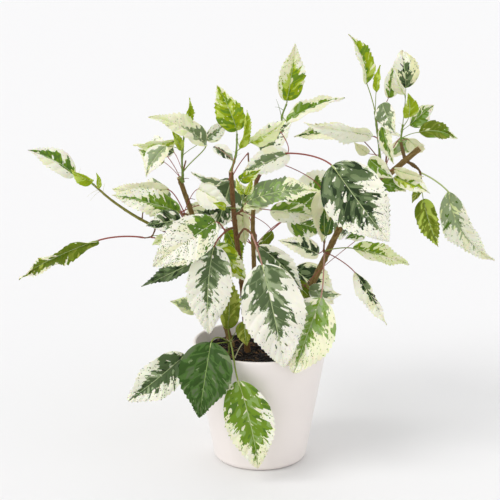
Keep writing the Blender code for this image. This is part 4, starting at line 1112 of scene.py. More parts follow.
# %% Looks of leaves
Look = namedtuple("Look", "paper second wash pale middle deep deepness")
LOOKS = {
    "grey": Look("white", "white", "grey_light", "grey_green", "blue_green", "night_green", 0.36),
    "grey_contrast": Look("white", "white", "grey_light", "grey_green", "blue_green", "night_green", 0.44),
    "grey_pale": Look("white", "white", "grey_light", "grey_light", "grey_green", "blue_green", 0.52),
    "grey_soft": Look("white", "cream", "grey_light", "grey_light", "grey_green", "grey_green", 0.5),
    "night": Look("white", "grey_light", "grey_light", "grey_green", "blue_green", "night_green", 0.55),
    "night_cream": Look("cream", "white", "grey_light", "grey_green", "blue_green", "night_green", 0.6),
    "night_pale": Look("white", "white", "grey_light", "grey_light", "blue_green", "night_green", 0.25),
    "dusk": Look("blue_green", "grey_green", "grey_green", "grey_green", "blue_green", "night_green", 0.4),
    "green": Look("white", "cream", "pale_lime", "fresh_green", "mid_green", "fresh_green", 0.4),
    "leafgreen": Look("cream", "white", "pale_lime", "sage", "fresh_green", "mid_green", 0.36),
    "fresh": Look("pale_lime", "cream", "lime", "lime", "bright_green", "fresh_green", 0.45),
    "fresh_pale": Look("pale_lime", "cream", "olive_light", "pale_lime", "bright_green", "fresh_green", 0.6),
    "fresh_cream": Look("cream", "white", "lime", "lime", "bright_green", "fresh_green", 0.45),
    "lime": Look("pale_lime", "cream", "pale_lime", "pale_lime", "lime", "yellow_green", 0.35),
    "lime_cream": Look("cream", "pale_lime", "pale_lime", "grey_light", "grey_green", "grey_green", 0.4),
    "young": Look("lime", "pale_lime", "lime", "lime", "yellow_green", "bright_green", 0.5),
    "shoot": Look("moss_green", "lime", "moss_green", "moss_green", "deep_green", "deep_green", 0.4),
    "dark": Look("leaf_green", "sage", "grey_green", "blue_green", "leaf_green", "dark_green", 0.5),
    "moss": Look("cream", "white", "olive_light", "olive", "moss_green", "mid_green", 0.2),
    "olive": Look("olive_light", "lime", "olive_light", "olive_light", "olive", "mid_green", 0.25),
    "beige": Look("beige", "cream", "pale_lime", "pale_lime", "pale_lime", "lime", 0.3),
    "deep_beige": Look("beige", "cream", "pale_lime", "fresh_green", "mid_green", "deep_green", 0.5),
    "cream": Look("white", "cream", "cream", "pale_lime", "pale_lime", "fresh_green", 0.3),
    "mottled": Look("cream", "pale_lime", "pale_lime", "grey_light", "sage", "grey_green", 0.5),
    "mottled_lime": Look("lime", "pale_lime", "lime", "lime", "olive", "moss_green", 0.42),
    "patched": Look("white", "cream", "grey_light", "fresh_green", "mid_green", "deep_green", 0.2),
    "ribbed": Look("cream", "white", "pale_lime", "grey_light", "sage", "fresh_green", 0.4),
    "blue_cream": Look("beige", "white", "grey_light", "grey_green", "blue_green", "night_green", 0.4),
    "faded": Look("white", "cream", "grey_light", "pale_lime", "grey_light", "mid_green", 0.22),
    "glossy": Look("cream", "white", "pale_lime", "olive", "moss_green", "fresh_green", 0.35),
    "soft_green": Look("pale_lime", "cream", "pale_lime", "pale_lime", "grey_light", "grey_green", 0.25),
}
REAR_LOOKS = ("grey", "grey_soft", "leafgreen", "grey_soft", "night_cream", "green", "fresh_cream", "ribbed",
              "grey", "faded")
UNDERSIDE = {"night_green": "blue_green", "dark_green": "deep_green", "blue_green": "grey_green"}
print(len(LOOKS), "looks")

# %% Areas of the mosaic
FLAME_ABOVE = 0.855
PALE_BELOW = 0.37
SECOND_ABOVE = 0.62
LEAST_SHARE, LOBE_SHARE, STRIP_SHARE, VEIN_SHARE = 0.50, 0.62, 0.45, 0.12
FRAY = 0.16
STRIPS = 40
OTHER_SIDE_SHIFT = 40


def leaf_fields(row, length, p, v, size, seed):
    """What decides the tones of a blade at the places p and v; each field is above 0 inside its own area.

    A place is green where |v| is less than the reach at p, times a share drawn for its vein and for its
    third of the strip between two veins. White flames are noise drawn out along the veins, and the
    deeper and paler parts of the green follow a wider noise.
    """
    vein = vein_place(length, p, v)
    side = (v < 0).astype(int)
    drawn = np.random.default_rng(seed + 500).random((2, 2, STRIPS))
    lobe = drawn[0, side, np.floor(vein + 0.5).astype(int) % STRIPS]
    strip = drawn[1, side, np.floor(vein * 3).astype(int) % STRIPS]
    share = LEAST_SHARE + LOBE_SHARE * lobe + STRIP_SHARE * (strip - 0.5)
    share = share + VEIN_SHARE * np.cos(2 * np.pi * vein)
    reach = np.interp(p, (0, 0.12, 0.5, 1), (row.reach[0], *row.reach))
    reach = reach * np.where(reach > 1, 1, share) * (1 + row.lean * np.sign(v))
    across = np.abs(v) * size + OTHER_SIDE_SHIFT * side

    def streaks(number, steps, width, shift=0, shift_across=0):
        """Noise with so many steps from vein to vein, and one for each width along them."""
        return value_noise(vein * steps + shift, across / width + shift_across, seed + number)

    patches = 0.5 * streaks(3, 1.4, 0.0075, 3) + 0.5 * streaks(6, 4.0, 0.0045, 3)
    return {
        "green": reach + FRAY * (streaks(1, 5, 0.0025) - 0.5) - np.abs(v),
        "flame": streaks(2, 3.1, 0.0085, 7) - FLAME_ABOVE,
        "deep": patches - 1 + LOOKS[row.look].deepness,
        "pale": PALE_BELOW - patches,
        "second": streaks(4, 0.9, 0.012, 5) - SECOND_ABOVE,
        "density": row.specks * (0.3 + 1.8 * streaks(5, 1.2, 0.008, 0, 9)),
    }


print("flames cover what the noise has above", FLAME_ABOVE)

# %% Tones of the faces
MIDDLE_SPECKS, DEEP_SPECKS, PALE_SPECKS = 0.65, 0.2, 0.12
ISLANDS_OUT_TO = -0.42
ISLANDS_FROM_SPECKS = 0.012
WASH_OUT_TO = -0.045
GREEN_LEAF_REACH = 0.9


def leaf_tones(row, fields, specks, on_vein, on_midrib):
    """Tone of each face, from the fields at its middle, a random number, and whether a vein crosses it."""
    look = LOOKS[row.look]
    density = fields["density"]
    green, flame, deep = (fields[name] > 0 for name in ("green", "flame", "deep"))
    tones = np.full(green.shape, look.paper, dtype=object)
    tones[fields["second"] > 0] = look.second
    tones[specks < density] = look.wash
    tones[specks < MIDDLE_SPECKS * density] = look.middle
    tones[specks < DEEP_SPECKS * density] = look.deep
    islands = flame & (fields["green"] > ISLANDS_OUT_TO) & (row.specks > ISLANDS_FROM_SPECKS)
    tones[islands] = np.where(deep, look.deep, look.middle)[islands]
    tones[(fields["green"] > WASH_OUT_TO) & (specks < 0.5)] = look.wash
    tones[green] = look.middle
    tones[green & deep & ~on_vein] = look.deep
    tones[green & (fields["pale"] > 0)] = look.pale
    tones[green & flame] = look.wash if row.reach[1] > GREEN_LEAF_REACH else look.paper
    tones[green & (specks > 1 - PALE_SPECKS * row.specks)] = look.paper
    tones[green & on_midrib] = "sage" if row.look == "dark" else "vein"
    return tones


print("of the specks", MIDDLE_SPECKS, "are green, and", DEEP_SPECKS, "deep green")

# %% [markdown]
# ## Clean borders on a grid
#
# On an even grid, the border between green and white would climb in steps. So the corners next to a
# border are moved onto it first, and each four-sided face is cut in two along the diagonal that runs
# nearest to the border. Every area then ends in a clean line, with no more faces than before.

# %% Corners on the borders
BORDER_REACH = 0.47
FLATTEST_RATE = 1e-4


def on_borders(p, v, fields):
    """Move inner corners onto the borders of the areas, by under half a cell; also says which have moved.

    A border lies where a field F is 0. Across a row that is v - F / (dF/dv) and along it p - F / (dF/dp),
    and the steeper way is taken.
    """
    step_p, step_v = p[1, 0] - p[0, 0], v[0, 1] - v[0, 0]
    middle = v.shape[1] // 2
    free = np.ones(v.shape, dtype=bool)
    free[(0, -1), :] = False
    free[:, (0, middle - 1, middle, -1)] = False
    moved = ~free
    for name in ("green", "flame", "deep", "pale"):
        rates = np.stack(np.gradient(fields[name]))
        steeper = np.abs(rates).argmax(axis=0)
        rate = np.take_along_axis(rates, steeper[None], 0)[0]
        move = -fields[name] / np.where(np.abs(rate) < FLATTEST_RATE, FLATTEST_RATE, rate)
        takes = ~moved & (np.abs(move) < BORDER_REACH)
        p = p + np.where(takes & (steeper == 0), move, 0) * step_p
        v = v + np.where(takes & (steeper == 1), move, 0) * step_v
        moved = moved | takes
    return p, v, moved & free


def split_along(quads, off):
    """Two three-sided faces from each four-sided one, cut along the diagonal that is less off a border."""
    off = off.ravel()[quads]
    first = (off[:, 0] + off[:, 2] <= off[:, 1] + off[:, 3])[:, None]
    one = np.where(first, quads[:, (0, 1, 2)], quads[:, (0, 1, 3)])
    two = np.where(first, quads[:, (0, 2, 3)], quads[:, (1, 2, 3)])
    return np.stack([one, two], 1).reshape(-1, 3)


print("corners move by up to", BORDER_REACH, "of a cell")

# %% A leaf as a thin closed sheet
LEAF_THICKNESS = 0.00035
CELL_STRETCH = 1.15
FEWEST_ROWS, FEWEST_COLUMNS = 14, 7
LOOSENESS = 0.16
FIRST_SHARE, LAST_SHARE = 0.006, 0.997


def leaf_part(leaf_grown, cell, seed):
    """Corners, faces and tones of one leaf: an upper and a lower sheet with a rim of faces between them."""
    row = leaf_grown.row
    rng = np.random.default_rng(seed + 900)
    length = (leaf_grown.tip - leaf_grown.base).length
    size = row.width / 200 / math.cos(math.radians(row.roll))
    rows = max(FEWEST_ROWS, round(length / cell / CELL_STRETCH))
    columns = max(FEWEST_COLUMNS, round(2 * size / cell / 2) * 2 + 1)
    even_p, v = np.broadcast_arrays(np.linspace(FIRST_SHARE, LAST_SHARE, rows + 1)[:, None],
                                    np.linspace(-1, 1, columns + 1)[None, :])
    fields = leaf_fields(row, length, even_p, v, size, seed)
    p, v, on_border = on_borders(even_p, v, fields)
    loose = np.zeros(p.shape)
    loose[1:-1, 1:-1] = LOOSENESS / rows * rng.uniform(-1, 1, (rows - 1, columns - 1))
    middle = blade_surface(leaf_grown, p + loose * ~on_border, v, seed)
    normals = np.cross(np.gradient(middle, axis=1), np.gradient(middle, axis=0))
    normals /= np.linalg.norm(normals, axis=2)[..., None] + 1e-12
    sheets = [middle + normals * LEAF_THICKNESS / 2, middle - normals * LEAF_THICKNESS / 2]
    numbers = np.arange(p.size).reshape(p.shape)
    quads = grid_faces(rows + 1, columns + 1)
    top = split_along(quads, np.abs(fields["green"]) + ~on_border)
    ring = np.concatenate([numbers[0, :-1], numbers[:-1, -1], numbers[-1, :0:-1], numbers[:0:-1, 0]])
    after = np.roll(ring, -1)
    rim = np.stack([after, ring, ring + p.size, after, ring + p.size, after + p.size], -1).reshape(-1, 3)
    vein = vein_place(length, even_p.ravel()[quads].mean(axis=1), v.ravel()[quads].mean(axis=1))
    half_row = 0.5 * vein_place(length, (LAST_SHARE - FIRST_SHARE) / rows, 1.0)
    on_vein = np.repeat(np.abs(vein - np.round(vein)) < half_row, 2)
    on_midrib = np.repeat(np.arange(len(quads)) % columns == columns // 2, 2)
    specks = np.repeat(rng.random(len(quads)), 2)
    middles = leaf_fields(row, length, p.ravel()[top].mean(axis=1), v.ravel()[top].mean(axis=1), size, seed)
    tones = leaf_tones(row, middles, specks, on_vein, on_midrib)
    under = np.array([UNDERSIDE.get(tone, tone) for tone in tones], dtype=object)
    edge_tones = np.full(len(rim), LOOKS[row.look].paper, dtype=object)
    points = np.concatenate(sheets).reshape(-1, 3)
    return points, np.vstack([top, top[:, ::-1] + p.size, rim]), np.concatenate([tones, under, edge_tones])


print("a leaf is", LEAF_THICKNESS * 1000, "mm thick")

# %% All leaves
FRONT_CELL = 0.00082
REAR_CELL = 0.0012
FIRST_LEAF_SEED = 100
FIRST_LOOK_SEED = 40
REAR_NAMES = {mass.name for mass in REAR_MASSES}


def dressed(leaf_grown, seed):
    """A rear leaf with a look drawn for it; a scheduled leaf stays as it is."""
    if leaf_grown.mass not in REAR_NAMES:
        return leaf_grown
    rng = np.random.default_rng(seed)
    look = REAR_LOOKS[rng.integers(len(REAR_LOOKS))]
    reach = (rng.uniform(0.7, 1.2), rng.uniform(0.25, 0.8), rng.uniform(0.0, 0.4))
    row = leaf_grown.row._replace(look=look, reach=reach, lean=rng.uniform(-0.3, 0.3),
                                  specks=rng.choice([0.01, 0.03]))
    return leaf_grown._replace(row=row)


grown = [dressed(g, FIRST_LOOK_SEED + n) for n, g in enumerate(grown)]
for mass in MASSES + REAR_MASSES:
    cell = REAR_CELL if mass.name in REAR_NAMES else FRONT_CELL
    parts = [leaf_part(g, cell, FIRST_LEAF_SEED + n) for n, g in enumerate(grown) if g.mass == mass.name]
    leaves = piece_from(mass.name.replace("foliage", "leaves"), parts, leaf_materials)
    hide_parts(mass.name)
print("leaves in all:", len(grown))

# %% [markdown]
# ## Leaf stalks and midribs
#
# A hibiscus leaf hangs on a long stalk, thickest where it leaves the twig and again under the blade,
# red on old leaves and green on young ones. It runs on under the blade as a raised midrib. A tube
# along the stalk's curve, carried on under the blade, makes both in one. The fine stalks bow less than
# the solids' ones; where that would touch the pot, a stalk keeps to the solid's own path.

# %% Curve of a stalk
STALK_SAMPLES = 24
STALK_RISE = 0.09
STALK_BEND = 0.16
STALK_GAP = 0.0012


def stalk_curve(leaf_grown):
    """A leaf's stalk: a cubic curve that rises a little from the twig and meets the blade at a slight bend.

    If a place on it lies nearer to the pot than the gap, it is the solid's path, made smooth.
    """
    root, base, tip = (xyz(place) for place in (leaf_grown.root, leaf_grown.base, leaf_grown.tip))
    along = (tip - base) / np.linalg.norm(tip - base)
    reach = np.linalg.norm(base - root)
    first = root + (base - root) * PETIOLE_FIRST + np.array((0, 0, STALK_RISE * reach))
    second = base - along * (STALK_BEND * reach)
    curve = cubic_path(root, first, second, base + along * PETIOLE_SINK, STALK_SAMPLES)
    if min(trees["pot"][0].find_nearest(Vector(place))[3] for place in curve) < STALK_GAP:
        print("a stalk of", leaf_grown.mass, "keeps to the solid's path, clear of the pot")
        curve = smooth_path(leaf_grown.path, STALK_SAMPLES)
    return curve


print("a stalk keeps", STALK_GAP * 1000, "mm clear of the pot")

# %% Stalks and midribs
STALK_SIDES = 8
STALK_RADIUS = 0.00072
RIB_SAMPLES = 12
RIB_RADII = (0.0006, 0.0002)
RIB_END = 0.85
SMALLEST_STALK, LARGEST_STALK = 0.5, 1.15
USUAL_LEAF = 0.08


def bell(shares, place, spread):
    """exp(-((s - place) / spread)²): a bell of height 1 round a place."""
    return np.exp(-((shares - place) / spread)**2)


def stalk_part(leaf_grown, seed):
    """Tube along a leaf's stalk and then along the underside of its midrib.

    The radius is r (1 + 0.5 exp(-(s/0.08)²) + 0.2 exp(-((s - 1)/0.07)²)) along the stalk, s from 0 to 1,
    and narrows evenly along the rib.
    """
    length = (leaf_grown.tip - leaf_grown.base).length
    size = min(LARGEST_STALK, max(SMALLEST_STALK, length / USUAL_LEAF))
    shares = np.linspace(0, 1, STALK_SAMPLES)
    stalk_radii = STALK_RADIUS * size * (1 + 0.5 * bell(shares, 0, 0.08) + 0.2 * bell(shares, 1, 0.07))
    stalk_radii[:2] *= (0.4, 0.85)
    radii = np.concatenate([stalk_radii, np.linspace(*RIB_RADII, RIB_SAMPLES) * size])
    u = np.linspace((PETIOLE_SINK + 0.002) / length, RIB_END, RIB_SAMPLES)[:, None]
    rib = blade_surface(leaf_grown, u, np.zeros((1, 1)), seed)[:, 0]
    rib = rib - xyz(blade_frame(leaf_grown.base, leaf_grown.tip, leaf_grown.row.roll)[2]) * LEAF_THICKNESS
    path = np.vstack([stalk_curve(leaf_grown), rib])
    points, quads, tones = tube_part(path, radii, STALK_SIDES, leaf_grown.row.stalk)
    tones[quads.min(axis=1) // STALK_SIDES >= STALK_SAMPLES - 3] = "rib"
    return points, quads, tones


piece_from("leaf_stalks", [stalk_part(g, FIRST_LEAF_SEED + n) for n, g in enumerate(grown)],
           stalk_materials)

# %% [markdown]
# ## Twigs
#
# The young wood of a shoot is green and swells a little at each leaf, where it also carries a
# hair-thin stipule, and it ends in a bud. A tube with a swelling at each leaf's place gives that.

# %% Twigs, buds and stipules
TWIG_SIDES = 10
TWIG_RINGS = 70
TWIG_SINK = 0.006
FOOT_SWELLING, LEAF_SWELLING = 0.35, 0.33
BUD_FROM = 0.97
STIPULE_RADII = (0.00028, 0.00008)
STIPULE_LENGTHS = (0.004, 0.008)
STIPULE_SEED = 5
GREEN_TWIGS = {"foliage_left_tip", "foliage_left_top", "foliage_centre_top", "foliage_back_top",
               "foliage_low_shoot", "foliage_right_top", "foliage_right_crown"}
# twig, and the share of it that is old wood, with its place, spread and height of swelling
OLD_WOOD = {"foliage_right_crown": (0.5, 0.3, 0.2, 0.6), "foliage_right_end": (1.0, 0.28, 0.16, 0.95)}


def twig_part(mass):
    """Tube along a mass's twig that swells by a third at each leaf, and closes to a bud at its end.

    It starts inside the stem that carries it, where it is a third thicker. Old wood on it is knobbly.
    """
    path = smooth_path(twigs[mass.name], TWIG_RINGS)
    carrier = limb_paths.get(mass.limb)
    foot = path[0] - (0, 0, TWIG_SINK) if carrier is None else xyz(nearest_on(carrier, path[0]))
    path = np.vstack([foot, (foot + path[0]) / 2, path])
    shares = np.linspace(0, 1, len(path))
    radii = np.linspace(*mass.radii, len(path)) / 1000 * (1 + FOOT_SWELLING * bell(shares, 0, 0.08))
    for g in grown:
        if g.mass == mass.name:
            radii = radii * (1 + LEAF_SWELLING * bell(shares, g.row.root, 0.035))
    radii = radii * (1 - 0.8 * smoothstep(BUD_FROM, 1.0, shares))
    old, place, spread, height = OLD_WOOD.get(mass.name, (0, 0, 1, 0))
    radii = radii * (1 + height * bell(shares, place, spread) * (1 + 0.25 * np.sin(shares * 90)))
    tone = "green_shoot" if mass.name in GREEN_TWIGS else "brown_shoot"
    points, quads, tones = tube_part(path, radii, TWIG_SIDES, tone)
    tones[quads.min(axis=1) // TWIG_SIDES < old * len(path)] = "old_wood"
    return points, quads, tones


def stipule_part(root, direction, length):
    """Hair-thin tapering tube from a twig, bent a little upwards."""
    shares = np.linspace(0, 1, 6)[:, None]
    path = xyz(root) + xyz(direction) * length * shares + np.array((0, 0, 0.25 * length)) * shares**2
    return tube_part(path, np.linspace(*STIPULE_RADII, len(path)), 4, "hair")


parts = [twig_part(mass) for mass in MASSES + REAR_MASSES]
rng = random.Random(STIPULE_SEED)
for g in grown:
    if g.mass in GREEN_TWIGS:
        outward = Vector((rng.uniform(-1, 1), rng.uniform(-1, 1), rng.uniform(-0.2, 0.8))).normalized()
        root = along_path(twigs[g.mass], g.row.root)
        parts.append(stipule_part(root, outward, rng.uniform(*STIPULE_LENGTHS)))
piece_from("twigs", parts, twig_materials)

# %% [markdown]
# ## Spurs, stubs and dry hairs
#
# Where stalks broke off or were cut, short stubs stay on the wood, and under young leaves stand dry
# thread-like stipules. They are few and each is a short tapering tube, so they are given one by one
# by their two ends on the view sheet.

# %% Stubs and hairs
# foot and end in cm on the view sheet, foot radius and end radius in mm, tone
STUBS = [
    ((14.2, 22.0, 0.0), (14.35, 20.85, -0.2), 0.75, 0.45, "brown_shoot"),
    ((18.7, 19.95, 2.0), (19.5, 19.95, 1.9), 0.45, 0.25, "brown_shoot"),
    ((18.9, 20.7, 2.1), (19.5, 20.5, 1.9), 0.5, 0.3, "brown_shoot"),
    ((19.1, 21.2, 2.1), (19.6, 21.1, 1.9), 0.5, 0.3, "brown_shoot"),
    ((18.3, 17.95, 1.4), (18.9, 17.85, 1.2), 0.4, 0.25, "brown_shoot"),
    ((23.3, 21.4, -1.1), (24.3, 21.6, -1.9), 1.2, 0.6, "brown_shoot"),
    ((28.1, 11.5, 3.8), (27.6, 9.9, 3.4), 0.3, 0.12, "green_shoot"),
    ((28.3, 11.0, 3.8), (27.5, 10.7, 3.4), 0.3, 0.12, "green_shoot"),
    ((9.9, 19.0, -1.9), (8.7, 19.7, -2.3), 0.2, 0.08, "hair"),
    ((10.1, 19.1, -1.8), (9.0, 20.1, -2.2), 0.2, 0.08, "hair"),
    ((10.3, 19.2, -1.8), (10.5, 18.3, -2.4), 0.2, 0.08, "hair"),
    ((24.3, 34.3, -2.6), (23.5, 35.8, -3.4), 0.5, 0.4, "hair"),
    ((23.3, 34.2, -2.0), (26.2, 33.9, -2.2), 0.4, 0.3, "brown_shoot"),
]
STUB_SAMPLES = 9


def stub_part(foot, end, foot_radius, end_radius, tone):
    """Short knobbly tube that narrows from one radius to the other and bows by a tenth of its length."""
    foot, end = xyz(on_sheet(foot)), xyz(on_sheet(end))
    shares = np.linspace(0, 1, STUB_SAMPLES)[:, None]
    bend = np.array((0, 0, 0.1 * np.linalg.norm(end - foot))) * np.sin(np.pi * shares)
    radii = np.linspace(foot_radius, end_radius, STUB_SAMPLES) / 1000
    radii = radii * (1 + 0.12 * np.sin(np.linspace(0, 14, STUB_SAMPLES)))
    return tube_part(foot + (end - foot) * shares + bend, radii, STALK_SIDES, tone)


piece_from("stubs", [stub_part(*stub) for stub in STUBS], twig_materials)

# %% [markdown]
# ## Bark
#
# The stems are older wood: tan on the outer ones, red brown on the middle ones, with a swelling and a
# scar where each fallen leaf stood, raised dots and fine lengthwise cracks. They were cut back, so
# their ends are pale. The relief is worked out ring by ring on a tube, and the colour is a noise that
# is drawn out along the stem, read from an attribute that runs with the bark.

# %% Bark material
def ramp_colour(shader, noise, stops):
    """Base colour from a ramp over a noise; stops are places from 0 to 1, each with its colour."""
    ramp = new_node(shader, "ValToRGB", Fac=noise.outputs["Fac"])
    elements = ramp.color_ramp.elements
    for stop in stops[1:-1]:
        elements.new(stop[0])
    for element, (place, hex_colour) in zip(elements, stops):
        element.position = place
        element.color = linear(hex_colour)
    set_inputs(shader, Base_Color=ramp.outputs["Color"])


def bark_material(name, dark, base, light):
    """Principled bark: noise drawn out along the stem picks between three colours and gives the bump."""
    material, shader = principled(name, Roughness=0.72, Specular_IOR_Level=0.3)
    place = new_node(shader, "Attribute")
    place.attribute_name = "grain"
    streaks = new_node(shader, "TexNoise", Vector=place.outputs["Vector"], Scale=2.6, Detail=6,
                       Roughness=0.65)
    ramp_colour(shader, streaks, [(0.32, dark), (0.5, base), (0.72, light)])
    bump_from(shader, streaks, 0.5, 0.0004)
    return material


bark_materials = {
    "tan": bark_material("bark_tan", "523f1c", "7a6233", "9c8450"),
    "brown": bark_material("bark_brown", "472f16", "6c4c28", "8f7043"),
    "olive": bark_material("bark_olive", "5c5428", "85813a", "a8a45a"),
    "cut": plant_material("cut_wood", "d0bd96", 0.8, 600, 0.5),
}
print(len(bark_materials), "bark finishes")

# %% Relief of the bark
BARK_SIDES = 40
BARK_STEP = 0.0009
FLARE_LENGTH = 0.006
NODE_LENGTH = 0.0014
SCAR_LENGTH = 0.0010
SCAR_OFFSET = 0.0022
NODE_TURN = 2.4
FIRST_NODE = (0.008, 0.014)
NODE_SPACING = (0.011, 0.019)
LAST_NODE_GAP = 0.004
GRAIN_LENGTH = 0.012


def bark_relief(s, angle, length, seed, rng):
    """Share by which the bark stands out at lengths s (a column) and angles (a line): nodes, dots, cracks.

    A node is a bell 1.4 mm long, higher on the side where its leaf stood, with a scar beyond it, and
    that side turns by the golden angle from node to node. Dots and cracks are noise over both.
    """
    relief = np.zeros(np.broadcast_shapes(s.shape, angle.shape))
    node_at = rng.uniform(*FIRST_NODE)
    turn = rng.uniform(0, 6)
    while node_at < length - LAST_NODE_GAP:
        toward = 0.45 + 0.55 * np.cos(angle - turn)
        relief += (0.04 + 0.12 * toward) * bell(s, node_at, NODE_LENGTH)
        relief -= 0.07 * bell(s, node_at + SCAR_OFFSET, SCAR_LENGTH) * (toward > 0.7)
        node_at += rng.uniform(*NODE_SPACING)
        turn += NODE_TURN
    wide, fine, dots = (value_noise(angle * steps, s / size, seed + number)
                        for steps, size, number in ((3.2, 0.007, 1), (6.4, 0.003, 2), (5, 0.0013, 3)))
    wrap = smoothstep(0, 0.5, angle) * (1 - smoothstep(2 * np.pi - 0.5, 2 * np.pi, angle))
    return relief + (0.05 * smoothstep(0.80, 0.95, dots) - 0.14 * wide * fine) * wrap


print("a node's bell is", NODE_LENGTH * 1000, "mm long")

# %% Stems with their bark
LIMB_TONES = {"stem_left": ("tan", "tan"), "stem_centre": ("brown", "brown"), "stem_back": ("brown", "tan"),
              "stem_right": ("tan", "tan"), "bough_left": ("brown", "olive")}
TONE_CHANGE = 0.42
FINER = 12
FIRST_BARK_SEED = 60


def bark_part(limb, seed):
    """Tube of a stem: corners, faces and tones, and the grain coordinates of the corners.

    The radius is the taper, widened by exp(-s / 6 mm) at a foot, times 1 + relief.
    """
    rng = np.random.default_rng(seed)
    coarse = limb_paths[limb.name]
    if limb.parent:
        coarse = np.vstack([xyz(nearest_on(limb_paths[limb.parent], coarse[0])), coarse])
    travelled = np.concatenate([[0], np.cumsum(np.linalg.norm(np.diff(coarse, axis=0), axis=1))])
    length = travelled[-1]
    count = int(length / BARK_STEP)
    s = np.linspace(0, length, count)
    places = np.interp(s, travelled, np.arange(len(coarse)))
    fine = smooth_path(coarse, FINER * (len(coarse) - 1) + 1)
    path = np.stack([np.interp(places * FINER, np.arange(len(fine)), fine[:, k]) for k in range(3)], -1)
    s = s[:, None]
    angle = np.linspace(0, 2 * np.pi, BARK_SIDES, endpoint=False)[None, :]
    radius = np.linspace(*limb.radii, count)[:, None] / 1000
    if limb.foot:
        radius = radius * (1 + (FOOT_FLARE - 1) * np.exp(-s / FLARE_LENGTH))
    relief = bark_relief(s, angle, length, seed, rng)
    first_tone, last_tone = LIMB_TONES[limb.name]
    points, quads, tones = tube_part(path, radius * (1 + relief), BARK_SIDES, first_tone)
    ring_of = quads.min(axis=1) // BARK_SIDES
    tones[ring_of >= TONE_CHANGE * count] = last_tone
    tones[-(BARK_SIDES // 2 - 1):] = "cut"
    tones[ring_of == count - 2] = "cut"
    grain = np.stack(np.broadcast_arrays(np.cos(angle), np.sin(angle), s / GRAIN_LENGTH + seed), -1)
    return (points, quads, tones), grain


for number, limb in enumerate(LIMBS):
    part, grain = bark_part(limb, FIRST_BARK_SEED + number)
    stem = piece_from(limb.name + "_bark", [part], bark_materials)
    stem.data.attributes.new("grain", "FLOAT_VECTOR", "POINT").data.foreach_set("vector", grain.ravel())
    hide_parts(limb.name)

# %% [markdown]
# ## The pot
#
# The pot is plain glazed ware: a tapered cup with a rounded lip and a soft turn at its foot. It is a
# turned shape, so one profile of radius and height is carried round the axis. The glaze is satin
# white with a very slight unevenness, which a low bump and a faint cloud of two whites give.

# %% Glaze
glaze = plant_material("pot_glaze", "f3ebe6", 0.34, 60, 0.06, 0.0006, gloss=0.5)
glaze_nodes = glaze.node_tree.nodes
glaze_shader = glaze_nodes["Principled BSDF"]
set_inputs(glaze_shader, Coat_Weight=0.25, Coat_Roughness=0.22)
clouds = new_node(glaze_shader, "TexNoise", Vector=glaze_nodes["Texture Coordinate"].outputs["Object"],
                  Scale=22, Detail=4)
ramp_colour(glaze_shader, clouds, [(0, "efe7e2"), (1, "f7efea")])
print("glaze has", len(glaze_nodes), "nodes")

# %% Turned shapes and the pot
POT_SIDES = 160
POLE_RADIUS = 0.0015
FOOT_TURN = 0.006
INNER_TURN = FLOOR_THICKNESS + 0.004
LIP_RADIUS = WALL / 2


def turned_points(profile, segments):
    """Points of a turned shape: (radius cos a, radius sin a, height) for each profile row and angle a."""
    radius, height = np.array(profile, dtype=float).T
    angles = np.linspace(0, 2 * np.pi, segments, endpoint=False)
    return np.stack([radius[:, None] * np.cos(angles), radius[:, None] * np.sin(angles),
                     np.repeat(height[:, None], segments, 1)], -1)


def arc(centre, radius, start, stop, count):
    """Points of (radius, height) on an arc between two angles in degrees."""
    angles = np.radians(np.linspace(start, stop, count))
    return [(centre[0] + radius * math.cos(a), centre[1] + radius * math.sin(a)) for a in angles]


def wall_radius(height):
    """Radius of the pot's outer wall at a height."""
    return FOOT_RADIUS + (RIM_RADIUS - FOOT_RADIUS) / POT_HEIGHT * height


lip_height = POT_HEIGHT - LIP_RADIUS
profile = [(POLE_RADIUS, 0.0), (0.02, 0.0), (0.04, 0.0)]
profile += arc((wall_radius(FOOT_TURN) - FOOT_TURN, FOOT_TURN), FOOT_TURN, -90, 0, 12)
profile += [(wall_radius(z), z) for z in np.linspace(FOOT_TURN, lip_height, 28)[1:-1]]
profile += arc((RIM_RADIUS - LIP_RADIUS, lip_height), LIP_RADIUS, 0, 180, 14)
profile += [(wall_radius(z) - WALL, z) for z in np.linspace(lip_height, INNER_TURN, 22)[1:]]
profile += [(0.03, FLOOR_THICKNESS), (POLE_RADIUS, FLOOR_THICKNESS)]
quads = tube_faces(len(profile), POT_SIDES)
pot_part = turned_points(profile, POT_SIDES).reshape(-1, 3), quads, np.full(len(quads), "glaze", dtype=object)
pot_piece = piece_from("pot_glazed", [pot_part], {"glaze": glaze})
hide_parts("pot")
print("rim", 2 * RIM_RADIUS * 1000, "mm across")

# %% [markdown]
# ## The soil
#
# Potting mix is dark peat in crumbs, with tan fibres of bark and root. The bed is a turned surface
# whose height is noise, and the crumbs are small blocks with moved corners strewn over it, all in one
# piece. Particles would not outlive the export, and a bump alone looks like paint.

# %% Bed of soil
SOIL_SIDES = 140
SOIL_GAP = 0.00045
BED_LOW = FLOOR_THICKNESS + 0.0045
BED_POLE = 0.0012
BED_RINGS = 62
SWELL_HEIGHT, SWELL_SIZE = 0.003, 0.020
LUMP_HEIGHT, LUMP_SIZE = 0.0016, 0.0035
FLAT_RIM = (0.055, 0.066)
SOIL_TONES = {"peat": "15100c", "crumb": "1f1610", "brown": "302116", "tan": "6e5236", "straw": "9a825c"}
soil_materials = materials_of("soil_", SOIL_TONES, roughness=0.92, bump_scale=900, bump_strength=0.8)


